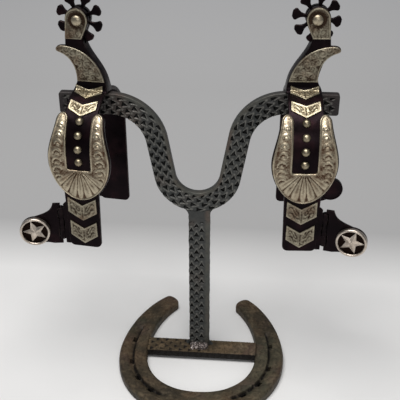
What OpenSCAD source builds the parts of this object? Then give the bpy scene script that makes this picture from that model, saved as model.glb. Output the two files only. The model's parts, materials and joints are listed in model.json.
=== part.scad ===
// A pair of western show spurs hung on a stand of rasp bar and a horseshoe.
// Millimetres, +Z up. The origin is on the floor, midway between the spurs.
// Each spur is drawn once, for the right side, and mirrored for the left.

/* [Stand] */
// Width of the horseshoe across its branches
shoe_w = 145; // [120:1:160]
// Length of the horseshoe from toe to heels
shoe_l = 154; // [125:1:175]
// Thickness of the horseshoe
shoe_t = 9.5; // [7:0.5:12]
// Width of the horseshoe's web at the toe
web_w = 24.7; // [18:0.1:30]
// Width of the rasp bar that is bent into the yoke
rasp_w = 16.6; // [14:0.1:26]
// Width of the rasp bar that stands as the upright
upright_w = 17.4; // [14:0.1:26]
// Thickness of the rasp bar
rasp_t = 6.35; // [4:0.05:9]
// Height of the top edge of the arms
arm_top = 248.3; // [200:0.5:300]
// Reach of each arm from the yoke's centre
arm_reach = 105; // [90:0.5:125]
// How far the left arm droops below the mean, and the right one stands above it
arm_step = 2.2; // [0:0.1:5]
// Lean of the yoke's legs from upright, in degrees
leg_lean = 10.3; // [4:0.1:16]
// Radius of the yoke's bottom bend, at the bar's centreline
yoke_r = 26.1; // [20:0.1:36]
// Radius of the two shoulder bends, at the bar's centreline
shoulder_r = 35.7; // [22:0.1:40]

/* [Spurs] */
// Distance of each spur from the middle of the stand
spur_x = 79; // [70:0.5:95]
// Turn of the left spur's front leg away from the middle, in degrees
left_toe_out = 6.8; // [0:0.1:10]
// Turn of the right spur's front leg away from the middle, in degrees
right_toe_out = 3.2; // [0:0.1:10]
// Width of the heel band
band_w = 25.4; // [16:0.1:32]
// Thickness of the heel band
band_t = 3; // [2:0.1:5]
// Outer radius of the heel bend
bend_r = 40; // [34:0.5:46]
// Height of the ends of the heel band when hung
leg_end = 136.4; // [120:0.1:160]
// Thickness of the shank
shank_t = 10.4; // [6:0.1:14]
// Thickness of the silver overlays
silver_t = 1.4; // [0.6:0.1:2.5]

/* [Rowel and buttons] */
// Radius of the rowel
rowel_r = 17.5; // [12:0.5:24]
// Thickness of the rowel
rowel_t = 2.4; // [1.5:0.1:4]
// Number of points on the rowel
points = 8; // [5:1:12]
// Radius of the rowel pin
rowel_pin_r = 2.5; // [1.5:0.1:3.5]
// Radius of the star concho
concho_r = 11.7; // [9:0.1:15]
// Radius of the plain inner button
inner_r = 9.9; // [8:0.1:12]
// Radius of the hinge pins
hinge_pin_r = 1.2; // [0.8:0.1:1.8]
// How far the left star button hangs swung forward, in degrees
left_swing = 14; // [-60:1:60]
// How far the right star button hangs swung forward, in degrees
right_swing = 16; // [-60:1:60]

/* [Hidden] */
$fn = 96;
fit_gap = 0.05;
shoe_x = 4.6;
upright_x = 2.1;
yoke_x = 0.6;
bar_y = 8.5;
shoe_y0 = -2;
mid_a = (shoe_w - web_w) / 2;
mid_b = shoe_l / 2 - web_w / 2 + shoe_y0;
heel_end_x = 35;
heel_end_y = 70.2;
cross_y = 3.4;
cross_w = 17.6;
upright_y = bar_y;
yoke_z = 181.7;
half_w = rasp_w / 2;
leg_x0 = yoke_r * cos(leg_lean);
leg_z0 = yoke_z - yoke_r * sin(leg_lean);
bend_z = 213;
// The inside of the bend rests on its arm.
hang_z = arm_top + 0.5 - (bend_z + bend_r - band_t);
slot_half = 1.5;
rowel_x = 5.5;
rowel_z = 305.2;
hinge_x = 18.4;
hinge_y = -(bend_r - band_t / 2);
leaf_t = 2.4;
barrel_r = 2.4;
hinge_z0 = 141.4;
hinge_z1 = 169.4;
knuckle = (hinge_z1 - hinge_z0) / 3;
leaf_top = 173.4;
leaf_low = 137;
button_z = 149.2;
button_reach = 21;
inner_reach = 14.8;

steel = [0.10, 0.09, 0.10];
silver = [0.72, 0.68, 0.60];
rasp = [0.25, 0.25, 0.24];
rust = [0.40, 0.33, 0.28];

// A point at t on the cubic curve through a and d, drawn towards b and c.
function curve(a, b, c, d, t) =
    pow(1 - t, 3) * a + 3 * t * pow(1 - t, 2) * b + 3 * t * t * (1 - t) * c + pow(t, 3) * d;

// Points along such a curve, n steps from first to last.
function run(a, b, c, d, n) = [for (i = [0 : n]) curve(a, b, c, d, i / n)];

// The same outline point on the other side of the centreline.
function flip(p) = [-p[0], p[1]];

function reversed(list) = [for (i = [len(list) - 1 : -1 : 0]) list[i]];

// ---- Horseshoe ----

// The web's centreline: u is 0 at the toe, 1 at the side and 2 at the heel.
function shoe_mid(u) = u <= 1
    ? [mid_a * pow(sin(90 * u), 0.93), shoe_y0 - mid_b * pow(max(cos(90 * u), 0), 0.93)]
    : curve([mid_a, shoe_y0], [mid_a, 27], [49.5, 54], [heel_end_x, heel_end_y], u - 1);

// Half the web's width, narrowing to the heels.
function shoe_half(u) = u <= 1 ? web_w / 2 : web_w / 2 - 4.2 * (u - 1);

function unit(v) = v / norm(v);

function shoe_dir(u) = unit(shoe_mid(u + 0.01) - shoe_mid(max(u - 0.01, 0)));

// A point set off from the centreline, outwards when off is positive.
function shoe_at(u, off) = let (d = shoe_dir(u)) shoe_mid(u) + off * [d[1], -d[0]];

function shoe_side(k) = [for (i = [1 : 40]) shoe_at(i / 20, k * shoe_half(i / 20))];

function heel_tip() = let (d = shoe_dir(2), e = shoe_mid(2), h = shoe_half(2))
    [for (a = [15 : 15 : 165]) e + h * cos(a) * [d[1], -d[0]] + 5.4 * sin(a) * d];

function half_outline() = concat(shoe_side(1), heel_tip(), reversed(shoe_side(-1)));

module shoe_outline() {
    toe_out_pt = [0, shoe_y0 - mid_b - web_w / 2];
    toe_in_pt = [0, shoe_y0 - mid_b + web_w / 2];
    right = half_outline();
    left = [for (p = reversed(right)) flip(p)];
    polygon(concat([toe_out_pt], right, [toe_in_pt], left));
}

// The crease follows the web from near the toe to the end of the nail holes.
module shoe_crease() {
    outer = [for (i = [5 : 28]) shoe_at(i / 20, 5.2)];
    inner = [for (i = [28 : -1 : 5]) shoe_at(i / 20, -0.6)];
    polygon(concat(outer, inner));
}

module nail_hole(u) {
    p = shoe_at(u, 2.3);
    d = shoe_dir(u);
    translate([p[0], p[1], -1])
        rotate([0, 0, atan2(d[1], d[0])])
            translate([-4.2, -2, 0])
                cube([8.4, 4, shoe_t + 2]);
}

module horseshoe_base() {
    color(rust)
        translate([shoe_x, 0, 0])
            difference() {
                linear_extrude(shoe_t)
                    shoe_outline();
                for (m = [0, 1])
                    mirror([m, 0, 0]) {
                        translate([0, 0, shoe_t - 3.2])
                            linear_extrude(5)
                                shoe_crease();
                        for (u = [0.42, 0.62, 0.84, 1.13])
                            nail_hole(u);
                    }
            }
}

// ---- Rasp bars and welds ----

// The bar between the branches is flush with the top of the shoe.
module cross_bar() {
    color(rasp)
        difference() {
            translate([shoe_x - 60, cross_y - cross_w / 2, shoe_t - rasp_t])
                cube([120, cross_w, rasp_t]);
            translate([shoe_x, 0, -1])
                linear_extrude(shoe_t + 2)
                    shoe_outline();
            for (s = [-1, 1])
                translate([shoe_x + s * 95 - 40, -40, -1])
                    cube([80, 80, shoe_t + 2]);
        }
}

module bar_end_welds() {
    color(rust)
        for (s = [-1, 1])
            difference() {
                translate([shoe_x + s * 45.6, cross_y, 0])
                    cylinder(h = shoe_t - rasp_t, r = 6);
                translate([shoe_x, 0, -1])
                    linear_extrude(shoe_t + 2)
                        shoe_outline();
            }
}

upright_low = shoe_t;
upright_top = yoke_z - yoke_r - half_w + 0.6;

module upright_bar() {
    color(rasp)
        difference() {
            translate([upright_x - upright_w / 2, upright_y - rasp_t / 2, upright_low])
                cube([upright_w, rasp_t, upright_top + 6 - upright_low]);
            translate([yoke_x, upright_y + 10, yoke_z])
                rotate([90, 0, 0])
                    cylinder(h = 20, r = yoke_r + half_w);
        }
}

module foot_weld() {
    color(silver)
        intersection() {
            translate([upright_x, upright_y - rasp_t / 2, shoe_t])
                rotate([0, 90, 0])
                    cylinder(h = upright_w - 2, r = 3.4, center = true);
            translate([upright_x - 20, upright_y - rasp_t / 2 - 10, shoe_t])
                cube([40, 10, 10]);
        }
}

module yoke_weld() {
    color(rasp)
        for (s = [-1, 1])
            translate([upright_x, upright_y, upright_top])
                difference() {
                    translate([s > 0 ? upright_w / 2 : -upright_w / 2 - 5, -2.6, -3])
                        cube([5, 5.2, 8]);
                    translate([s * (upright_w / 2 + 5.4), 0, -5.2])
                        rotate([90, 0, 0])
                            cylinder(h = 10, r = 5.4, center = true);
                    translate([yoke_x - upright_x, 0, yoke_z - upright_top])
                        rotate([90, 0, 0])
                            cylinder(h = 20, r = yoke_r + half_w, center = true);
                }
}

// One side of the yoke: leaning leg, shoulder bend and arm.
module yoke_side(s) {
    top = arm_top + s * arm_step;
    rise = top - half_w - leg_z0;
    leg_l = (rise - shoulder_r * (1 - sin(leg_lean))) / cos(leg_lean);
    cx = leg_x0 + leg_l * sin(leg_lean) + shoulder_r * cos(leg_lean);
    cz = top - half_w - shoulder_r;
    translate([leg_x0, leg_z0])
        rotate(-leg_lean)
            translate([-half_w, 0])
                square([rasp_w, leg_l]);
    translate([cx, cz])
        intersection() {
            difference() {
                circle(shoulder_r + half_w);
                circle(shoulder_r - half_w);
            }
            polygon([[0, 0], [0, 90], [-90, 90], [-90 * cos(leg_lean), 90 * sin(leg_lean)]]);
        }
    translate([cx, top - rasp_w])
        square([arm_reach - 2 - cx, rasp_w]);
    translate([arm_reach - 2, top - rasp_w + 2])
        square([2, rasp_w - 4]);
    for (z = [top - 2, top - rasp_w + 2])
        translate([arm_reach - 2, z])
            circle(2);
}

module yoke_outline() {
    intersection() {
        translate([0, yoke_z])
            difference() {
                circle(yoke_r + half_w);
                circle(yoke_r - half_w);
            }
        translate([0, yoke_z])
            polygon([
                [0, 0],
                [-90 * cos(leg_lean), -90 * sin(leg_lean)],
                [-90, -90],
                [90, -90],
                [90 * cos(leg_lean), -90 * sin(leg_lean)]
            ]);
    }
    yoke_side(1);
    mirror([1, 0])
        yoke_side(-1);
}

module yoke_bar() {
    color(rasp)
        translate([yoke_x, bar_y + rasp_t / 2, 0])
            rotate([90, 0, 0])
                linear_extrude(rasp_t)
                    yoke_outline();
}

// ---- Spurs ----
// In a spur's own frame x points away from the stand's middle, y = 0 is the
// middle of the arm, the front leg is at -y and z is the height when hung.

module hang(s) {
    translate([s * spur_x, bar_y, hang_z + s * arm_step])
        mirror([s < 0 ? 1 : 0, 0, 0])
            rotate([0, 0, s < 0 ? left_toe_out : right_toe_out])
                children();
}

// Extrude an outline drawn in x and z through y, from y0 to y1.
module through(y0, y1) {
    translate([0, y1, 0])
        rotate([90, 0, 0])
            linear_extrude(y1 - y0)
                children();
}

// The shell of the heel bend and its two legs, r0 to r1 from the bend's axis.
module band_shell(r0, r1, width) {
    translate([-width / 2, 0, bend_z])
        rotate([90, 0, 90])
            linear_extrude(width)
                difference() {
                    union() {
                        circle(r1);
                        translate([-r1, -90])
                            square([2 * r1, 90]);
                    }
                    circle(r0);
                    translate([-r0, -91])
                        square([2 * r0, 91]);
                }
}

module leg_outline() {
    r = 4;
    translate([-band_w / 2, leg_end + r])
        square([band_w, 300 - leg_end]);
    translate([-band_w / 2 + r, leg_end])
        square([band_w - 2 * r, 2 * r]);
    for (s = [-1, 1])
        translate([s * (band_w / 2 - r), leg_end + r])
            circle(r);
}

// Right edge of the buckle overlay, set out by m: shoulder of the prong to the bottom.
function buckle_edge(m) = concat(
    run([16.4 + m, 239], [18 + m, 230], [23.4 + m, 220], [23.4 + m, 209.5], 10),
    run([23.4 + m, 209.5], [23.4 + m, 194], [12.5, 178.2 - m], [0, 178.2 - m], 14)
);

module buckle_body(m) {
    right = buckle_edge(m);
    left = [for (p = reversed(right)) flip(p)];
    polygon(concat(right, left));
}

// The rounded ends of the buckle overlay's two prongs.
module prong_ends(m) {
    for (s = [-1, 1])
        translate([s * (12.75 + m / 2), 238.4])
            circle(3.85 + m / 2);
}

// The ear that carries two of the hinge's three knuckles.
module hinge_ear() {
    y0 = hinge_y - leaf_t / 2;
    difference() {
        union() {
            translate([band_w / 2 - 0.01, y0, leg_end + 1.2])
                cube([hinge_x - 1.5 - band_w / 2, leaf_t, 174 - leg_end - 1.2]);
            for (z = [hinge_z0, hinge_z1 - knuckle])
                translate([hinge_x, hinge_y, z])
                    cylinder(h = knuckle, r = barrel_r);
            for (z = [hinge_z0, hinge_z1 - knuckle])
                translate([hinge_x - 4, y0, z])
                    cube([4, leaf_t, knuckle]);
        }
        translate([hinge_x, hinge_y, hinge_z0 + knuckle - 0.001])
            cylinder(h = knuckle + 0.002, r = barrel_r + 0.4);
        translate([hinge_x, hinge_y, leg_end])
            cylinder(h = 50, r = hinge_pin_r);
    }
}

module heel_band() {
    color(steel) {
        intersection() {
            band_shell(bend_r - band_t, bend_r, 60);
            union() {
                through(-60, 60)
                    leg_outline();
                through(-60, 0)
                    buckle_body(0.7);
                through(-60, 0)
                    prong_ends(0.7);
            }
        }
        hinge_ear();
        mirror([0, 1, 0])
            hinge_ear();
    }
}

function horn_pts() = concat(
    run([-12, 259.5], [-9.5, 275], [3, 285.5], [18, 285.9], 12),
    run([18, 285.9], [21, 286], [23.6, 285.2], [23.7, 283.2], 4),
    run([23.7, 283.2], [23.7, 282.2], [23, 281.6], [22, 281.2], 3),
    run([22, 281.2], [13, 278.5], [8.6, 271], [9, 259.5], 12)
);

module plate_outline(m) {
    translate([6.2, 305.3])
        circle(8.3 + m);
    polygon([
        [-2 - m, 303.4], [3.3 - m, 291.4], [15.6 + m, 291.4], [14.5 + m, 304.6], [6, 311]
    ]);
}

module shank_neck() {
    inner = run([-13.6, 251], [-13.2, 271], [1.4, 277.5], [3, 291.6], 14);
    outer = run([15.8, 291.6], [16.8, 285], [13, 275], [10.5, 266], 8);
    polygon(concat(inner, [[3, 296], [14.6, 296]], outer, [[10.2, 258], [12.7, 251]]));
}

module shank() {
    color(steel)
        difference() {
            union() {
                through(-shank_t / 2, shank_t / 2)
                    shank_neck();
                through(-shank_t / 2, shank_t / 2)
                    polygon(horn_pts());
                through(-shank_t / 2, shank_t / 2)
                    plate_outline(0.4);
            }
            translate([0, 0, bend_z])
                rotate([0, 90, 0])
                    cylinder(h = 80, r = bend_r, center = true);
            translate([rowel_x, slot_half, rowel_z])
                rotate([90, 0, 0])
                    cylinder(h = 2 * slot_half, r = rowel_r + 0.9);
            translate([rowel_x, 20, rowel_z])
                rotate([90, 0, 0])
                    cylinder(h = 40, r = rowel_pin_r);
        }
}

module shank_plate() {
    color(silver)
        difference() {
            through(-shank_t / 2 - silver_t, -shank_t / 2)
                plate_outline(0);
            translate([rowel_x, 20, rowel_z])
                rotate([90, 0, 0])
                    cylinder(h = 40, r = rowel_pin_r);
        }
}

module guard_overlay() {
    color(silver)
        through(-shank_t / 2 - silver_t, -shank_t / 2)
            polygon(horn_pts());
}

module buckle_overlay() {
    color(silver)
        difference() {
            intersection() {
                band_shell(bend_r, bend_r + silver_t + 0.3, 60);
                union() {
                    through(-60, 0)
                        buckle_body(0);
                    through(-60, 0)
                        prong_ends(0);
                }
            }
            through(-60, 0) {
                translate([-9.1, 205])
                    square([18.2, 60]);
                translate([-7.6, 203])
                    square([15.2, 20]);
                for (s = [-1, 1])
                    translate([s * 7.1, 205])
                        circle(2);
            }
        }
}

// Two chevrons on the bend, drawn from above: top, notch, lower corner and tip
// are angles round the bend from the level of its axis.
module bend_chevron(top, notch, low, tip, half) {
    function at(a) = -bend_r * cos(a);
    intersection() {
        band_shell(bend_r, bend_r + silver_t, 60);
        translate([0, 0, bend_z])
            linear_extrude(60)
                polygon([
                    [-half, at(top)], [0, at(notch)], [half, at(top)],
                    [half + 0.2, at(low)], [0, at(tip)], [-half - 0.2, at(low)]
                ]);
    }
}

module upper_chevrons() {
    color(silver) {
        bend_chevron(82, 78.5, 72, 66, 10.3);
        bend_chevron(64.5, 58, 52.5, 44, 10.5);
    }
}

module leg_chevron(top, half) {
    translate([0, top])
        polygon([
            [-half, 0], [0, -6.6], [half, 0],
            [half, -12.6], [0, -19.8], [-half, -12.6]
        ]);
}

module lower_chevrons() {
    color(silver)
        through(-bend_r - silver_t, -bend_r) {
            leg_chevron(180, 11.2);
            leg_chevron(159.7, 10.5);
        }
}

module band_studs() {
    color(silver)
        for (z = [209.6, 219.5, 229.3, 238.2])
            difference() {
                translate([0, -(z > bend_z ? sqrt(bend_r * bend_r - pow(z - bend_z, 2)) : bend_r), z])
                    sphere(r = 3.1);
                band_shell(1, bend_r, 40);
            }
}

module rowel_outline() {
    difference() {
        union() {
            circle(7.4);
            for (i = [0 : points - 1])
                rotate(i * 360 / points) {
                    polygon([[6, -1.5], [9.4, -1.25], [14.9, -3.9], [14.9, 3.9], [9.4, 1.25], [6, 1.5]]);
                    intersection() {
                        circle(rowel_r);
                        translate([14, -2.4])
                            square([5, 4.8]);
                    }
                    for (s = [-1, 1])
                        translate([15.1, s * 2.3])
                            circle(1.7);
                }
        }
        circle(rowel_pin_r + fit_gap);
    }
}

module rowel(phase) {
    color(steel)
        translate([rowel_x, rowel_t / 2, rowel_z])
            rotate([90, phase, 0])
                linear_extrude(rowel_t)
                    rowel_outline();
}

module rowel_pin() {
    y0 = -shank_t / 2 - silver_t;
    color(silver) {
        translate([rowel_x, shank_t / 2, rowel_z])
            rotate([90, 0, 0])
                cylinder(h = shank_t + silver_t, r = rowel_pin_r);
        intersection() {
            translate([rowel_x, y0 + 1.2, rowel_z])
                sphere(r = 3.7);
            translate([rowel_x - 6, y0 - 6, rowel_z - 6])
                cube([12, 6, 12]);
        }
        translate([rowel_x, shank_t / 2 + 1, rowel_z])
            rotate([90, 0, 0])
                cylinder(h = 1, r = 3.4);
    }
}

// ---- Swinging buttons ----

module leaf_plate(reach, r) {
    high = [hinge_x + reach, button_z + r];
    deep = [hinge_x + reach, button_z - r];
    top = run([hinge_x + 6, leaf_top], [hinge_x + 8, 165], [hinge_x + 12, 164], high, 10);
    low = run(deep, [hinge_x + 12, 139], [hinge_x + 9, leaf_low], [hinge_x + 6.5, leaf_low], 6);
    polygon(concat([[hinge_x + 0.3, leaf_low], [hinge_x + 0.3, leaf_top]], top, low));
    translate([hinge_x + reach, button_z])
        circle(r);
}

module button_leaf(reach, r) {
    color(steel)
        difference() {
            union() {
                through(hinge_y - leaf_t / 2, hinge_y + leaf_t / 2)
                    leaf_plate(reach, r);
                translate([hinge_x, hinge_y, hinge_z0 + knuckle + 0.3])
                    cylinder(h = knuckle - 0.6, r = barrel_r);
            }
            for (z = [hinge_z0 - 0.3, hinge_z1 - knuckle - 0.3])
                translate([hinge_x, hinge_y, z])
                    cylinder(h = knuckle + 0.6, r = barrel_r + 0.4);
            translate([hinge_x, hinge_y, hinge_z0 - 20])
                cylinder(h = 60, r = hinge_pin_r + fit_gap);
            translate([hinge_x + reach, hinge_y, button_z])
                rotate([90, 0, 0])
                    cylinder(h = 10, r = 1.8, center = true);
        }
}

module hinge_pin() {
    color(steel)
        translate([hinge_x, hinge_y, hinge_z0 - 0.4])
            cylinder(h = hinge_z1 - hinge_z0 + 0.8, r = hinge_pin_r);
}

module outer_concho() {
    y1 = hinge_y - leaf_t / 2;
    color(silver)
        translate([hinge_x + button_reach, y1, button_z])
            rotate([90, 0, 0])
                difference() {
                    cylinder(h = 3.6, r = concho_r);
                    translate([0, 0, 1.6])
                        cylinder(h = 3, r = concho_r - 1.7);
                    translate([0, 0, -1])
                        cylinder(h = 3, r = 1.8);
                }
}

// The rivet ties the concho to its leaf, and its head is the raised star.
module outer_button_post() {
    y1 = hinge_y - leaf_t / 2;
    color(silver)
        translate([hinge_x + button_reach, 0, button_z]) {
            translate([0, y1 + leaf_t, 0])
                rotate([90, 0, 0])
                    cylinder(h = leaf_t + 1.6, r = 1.8);
            translate([0, y1 - 1.6, 0])
                rotate([90, 0, 0])
                    linear_extrude(1.8)
                        polygon([
                            for (i = [0 : 9])
                                (i % 2 == 0 ? 9.7 : 4.1) * [sin(i * 36), cos(i * 36)]
                        ]);
        }
}

module inner_button() {
    color(steel)
        translate([hinge_x + inner_reach, 0, button_z]) {
            translate([0, hinge_y + leaf_t / 2, 0])
                rotate([90, 0, 0])
                    cylinder(h = leaf_t + 2, r = 1.8);
            translate([0, hinge_y - leaf_t / 2 - 2, 0])
                rotate([90, 0, 0])
                    cylinder(h = 1.6, r = inner_r);
        }
}

// Turn an outer button forward about its hinge pin.
module swung(a) {
    translate([hinge_x, hinge_y, 0])
        rotate([0, 0, -a])
            translate([-hinge_x, -hinge_y, 0])
                children();
}

module back() {
    mirror([0, 1, 0])
        children();
}

module left_heel_band() { hang(-1) heel_band(); }
module right_heel_band() { hang(1) heel_band(); }
module left_shank() { hang(-1) shank(); }
module right_shank() { hang(1) shank(); }
module left_shank_plate() { hang(-1) shank_plate(); }
module right_shank_plate() { hang(1) shank_plate(); }
module left_guard_overlay() { hang(-1) guard_overlay(); }
module right_guard_overlay() { hang(1) guard_overlay(); }
module left_buckle_overlay() { hang(-1) buckle_overlay(); }
module right_buckle_overlay() { hang(1) buckle_overlay(); }
module left_upper_chevrons() { hang(-1) upper_chevrons(); }
module right_upper_chevrons() { hang(1) upper_chevrons(); }
module left_lower_chevrons() { hang(-1) lower_chevrons(); }
module right_lower_chevrons() { hang(1) lower_chevrons(); }
module left_band_studs() { hang(-1) band_studs(); }
module right_band_studs() { hang(1) band_studs(); }
module left_rowel() { hang(-1) rowel(24.5); }
module right_rowel() { hang(1) rowel(9.8); }
module left_rowel_pin() { hang(-1) rowel_pin(); }
module right_rowel_pin() { hang(1) rowel_pin(); }
module left_outer_button_leaf() { hang(-1) swung(left_swing) button_leaf(button_reach, concho_r); }
module right_outer_button_leaf() { hang(1) swung(right_swing) button_leaf(button_reach, concho_r); }
module left_outer_hinge_pin() { hang(-1) hinge_pin(); }
module right_outer_hinge_pin() { hang(1) hinge_pin(); }
module left_outer_concho() { hang(-1) swung(left_swing) outer_concho(); }
module right_outer_concho() { hang(1) swung(right_swing) outer_concho(); }
module left_outer_button_post() { hang(-1) swung(left_swing) outer_button_post(); }
module right_outer_button_post() { hang(1) swung(right_swing) outer_button_post(); }
module left_inner_button_leaf() { hang(-1) back() button_leaf(inner_reach, inner_r); }
module right_inner_button_leaf() { hang(1) back() button_leaf(inner_reach, inner_r); }
module left_inner_hinge_pin() { hang(-1) back() hinge_pin(); }
module right_inner_hinge_pin() { hang(1) back() hinge_pin(); }
module left_inner_button() { hang(-1) back() inner_button(); }
module right_inner_button() { hang(1) back() inner_button(); }

horseshoe_base();
cross_bar();
upright_bar();
yoke_bar();
foot_weld();
yoke_weld();
bar_end_welds();
left_heel_band();
left_shank();
left_shank_plate();
left_guard_overlay();
left_buckle_overlay();
left_upper_chevrons();
left_lower_chevrons();
left_band_studs();
left_rowel();
left_rowel_pin();
left_outer_button_leaf();
left_outer_hinge_pin();
left_outer_concho();
left_outer_button_post();
left_inner_button_leaf();
left_inner_hinge_pin();
left_inner_button();
right_heel_band();
right_shank();
right_shank_plate();
right_guard_overlay();
right_buckle_overlay();
right_upper_chevrons();
right_lower_chevrons();
right_band_studs();
right_rowel();
right_rowel_pin();
right_outer_button_leaf();
right_outer_hinge_pin();
right_outer_concho();
right_outer_button_post();
right_inner_button_leaf();
right_inner_hinge_pin();
right_inner_button();
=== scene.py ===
"""Looks for a pair of western show spurs hung on a rasp-bar and horseshoe stand.

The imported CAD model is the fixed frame. Pieces are built in millimetres, in the
frame's axes, and become metres when their mesh is made. A spur is drawn once in
its own axes: x away from the stand's middle, y back, z up, y = 0 at the arm.
"""
import json
import math

import bmesh
import bpy
import numpy as np
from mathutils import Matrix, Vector, geometry, noise


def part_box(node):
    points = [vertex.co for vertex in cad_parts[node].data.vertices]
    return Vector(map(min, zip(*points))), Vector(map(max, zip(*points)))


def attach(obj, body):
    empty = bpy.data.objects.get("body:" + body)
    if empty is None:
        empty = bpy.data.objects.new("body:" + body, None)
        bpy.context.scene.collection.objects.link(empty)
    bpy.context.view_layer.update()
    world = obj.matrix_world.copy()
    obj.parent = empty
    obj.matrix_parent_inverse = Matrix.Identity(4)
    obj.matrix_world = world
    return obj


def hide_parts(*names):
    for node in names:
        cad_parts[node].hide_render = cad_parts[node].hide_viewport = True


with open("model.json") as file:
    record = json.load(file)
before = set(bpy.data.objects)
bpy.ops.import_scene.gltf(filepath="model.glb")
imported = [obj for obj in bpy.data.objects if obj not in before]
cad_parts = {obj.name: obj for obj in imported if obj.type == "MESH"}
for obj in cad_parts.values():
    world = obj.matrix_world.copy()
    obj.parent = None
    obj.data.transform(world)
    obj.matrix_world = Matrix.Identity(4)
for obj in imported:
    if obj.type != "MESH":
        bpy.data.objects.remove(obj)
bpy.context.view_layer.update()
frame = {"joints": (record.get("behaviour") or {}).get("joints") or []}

# ---------------------------------------------------------------- sizes, mm
MM = 1000  # in a metre
RASP_W = 16.6
YOKE_R, SHOULDER_R, LEG_LEAN, ARM_DROP = 26.1, 35.7, 10.3, 4.4
BAND_HALF, BAND_T, BEND_R, BEND_Z = 12.7, 3.0, 40.0, 213.0
LEG_END = 136.4
FOOT_DEG = 79  # how far round the bend the shank's front face stands
SHANK_HALF, SILVER_T, NECK_LOW, NECK_TOP = 5.2, 1.4, 251.4, 291.4
EYE_X, EYE_Z, EYE_R = 6.2, 305.3, 8.7
ROWEL_X, ROWEL_Z, ROWEL_R, POINTS = 5.5, 305.2, 17.5, 8
ROWEL_PHASE = {-1: 24.5, 1: 9.8}
HINGE_X, HINGE_Y, HINGE_Z = 18.4, -38.5, 155.4
LEAF_HALF, BARREL_R, CLEAR, PLAY = 1.2, 2.4, 0.06, 0.1
KNUCKLES = (141.4, 150.733, 160.067, 169.4)
BUTTON_Z = 149.2
PLAIN_SHADE = 0.52  # a rasp's face between its teeth


def node_box(node):
    """A CAD node's x0, y0, z0, x1, y1, z1 in millimetres."""
    return [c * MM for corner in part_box(node) for c in corner]


# ---------------------------------------------------------------- outlines
def clamp(x):
    """x kept between 0 and 1."""
    return np.clip(x, 0, 1)


def bell(x, width):
    """1 at x = 0, falling smoothly to 0 on both sides."""
    return np.exp(-((x / width) ** 2))


def wavy(pts, size, seed=0.0):
    """Smooth noise, about -1 to 1, at each point of a list or grid of 2D points."""
    flat_pts = pts.reshape(-1, 2) / size
    field = [noise.noise(Vector((x, y, seed))) for x, y in flat_pts]
    return np.array(field).reshape(pts.shape[:-1]) * 1.6


def cubic(a, b, c, d, n):
    t = np.linspace(0, 1, n + 1)[:, None]
    a, b, c, d = (np.array(p, float) for p in (a, b, c, d))
    return (1 - t) ** 3 * a + 3 * t * (1 - t) ** 2 * b + 3 * t * t * (1 - t) * c + t**3 * d


def arc(cx, cy, r, a0, a1, n):
    a = np.radians(np.linspace(a0, a1, n + 1))
    return np.column_stack([cx + r * np.cos(a), cy + r * np.sin(a)])


def chain(*runs):
    """Joins runs of points into one closed loop without repeated points."""
    pts = np.vstack([np.atleast_2d(np.array(r, float)) for r in runs])
    keep = np.linalg.norm(pts - np.roll(pts, 1, 0), axis=1) > 1e-3
    return pts[keep]


def both_sides(right):
    """A closed loop from its right-hand half, given from one end of the centreline to the other."""
    right = np.array(right, float)
    return chain(right, right[::-1] * [-1, 1])


def area(loop):
    x, y = loop[:, 0], loop[:, 1]
    return 0.5 * float(np.sum(x * np.roll(y, -1) - np.roll(x, -1) * y))


def dense(line, step=0.3):
    """An open line with points no further apart than step."""
    line = np.array(line, float)
    out = []
    for a, b in zip(line, line[1:]):
        n = max(1, math.ceil(np.linalg.norm(b - a) / step))
        out += [a + (b - a) * i / n for i in range(n)]
    return np.array(out + [line[-1]])


def inside_by(pts, loops):
    """Distance to the nearest outline, negative outside the region that the loops bound."""
    best = np.full(len(pts), 1e9)
    inside = np.zeros(len(pts), bool)
    for loop in loops:
        for a, b in zip(loop, np.roll(loop, -1, 0)):
            ab, ap = b - a, pts - a
            t = clamp(ap @ ab / max(ab @ ab, 1e-12))
            best = np.minimum(best, np.linalg.norm(ap - t[:, None] * ab, axis=1))
            crosses = (a[1] > pts[:, 1]) != (b[1] > pts[:, 1])
            if crosses.any():
                x = a[0] + (pts[:, 1] - a[1]) / (b[1] - a[1] + 1e-15) * ab[0]
                inside ^= crosses & (pts[:, 0] < x)
    return np.where(inside, best, -best)


def panel(loops, step, rings):
    """Triangles that fill the region of the loops, with rows of points along its edges."""
    loops = [dense([*l, l[0]], step)[:-1] for l in loops]
    loops = [l if (area(l) > 0) == (i == 0) else l[::-1] for i, l in enumerate(loops)]
    pts, edges, start = [], [], 0
    for l in loops:
        pts.append(l)
        edges += [(start + i, start + (i + 1) % len(l)) for i in range(len(l))]
        start += len(l)
    for r in rings:
        for l in loops:
            along = np.roll(l, -1, 0) - np.roll(l, 1, 0)
            along /= np.linalg.norm(along, axis=1)[:, None] + 1e-12
            ring = l + r * np.column_stack([-along[:, 1], along[:, 0]])
            pts.append(ring[np.abs(inside_by(ring, loops) - r) < 0.12 * r])
    low, high = loops[0].min(0), loops[0].max(0)
    rows = np.arange(low[1], high[1], step * 0.87)
    gx, gy = np.meshgrid(np.arange(low[0], high[0], step), rows)
    gx = gx + (np.arange(len(rows)) % 2)[:, None] * step / 2
    grid = np.column_stack([gx.ravel(), gy.ravel()])
    pts.append(grid[inside_by(grid, loops) > rings[-1] + 0.55 * step])
    points = [Vector(p) for p in np.vstack(pts)]
    verts, _, tris = geometry.delaunay_2d_cdt(points, edges, [], 0, 1e-5)[:3]
    verts, tris = np.array([tuple(v) for v in verts]), np.array([list(t) for t in tris])
    tris = tris[inside_by(verts[tris].mean(1), loops) > 0]
    used = np.unique(tris)
    index = np.full(len(verts), -1)
    index[used] = np.arange(len(used))
    verts, tris = verts[used], index[tris]
    return verts, tris, np.maximum(inside_by(verts, loops), 0)


def rounded(d, r):
    """How far a rounded edge of radius r falls below the face, d inside its outline."""
    return r - np.sqrt(np.maximum(r * r - (r - np.minimum(d, r)) ** 2, 0))


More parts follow.
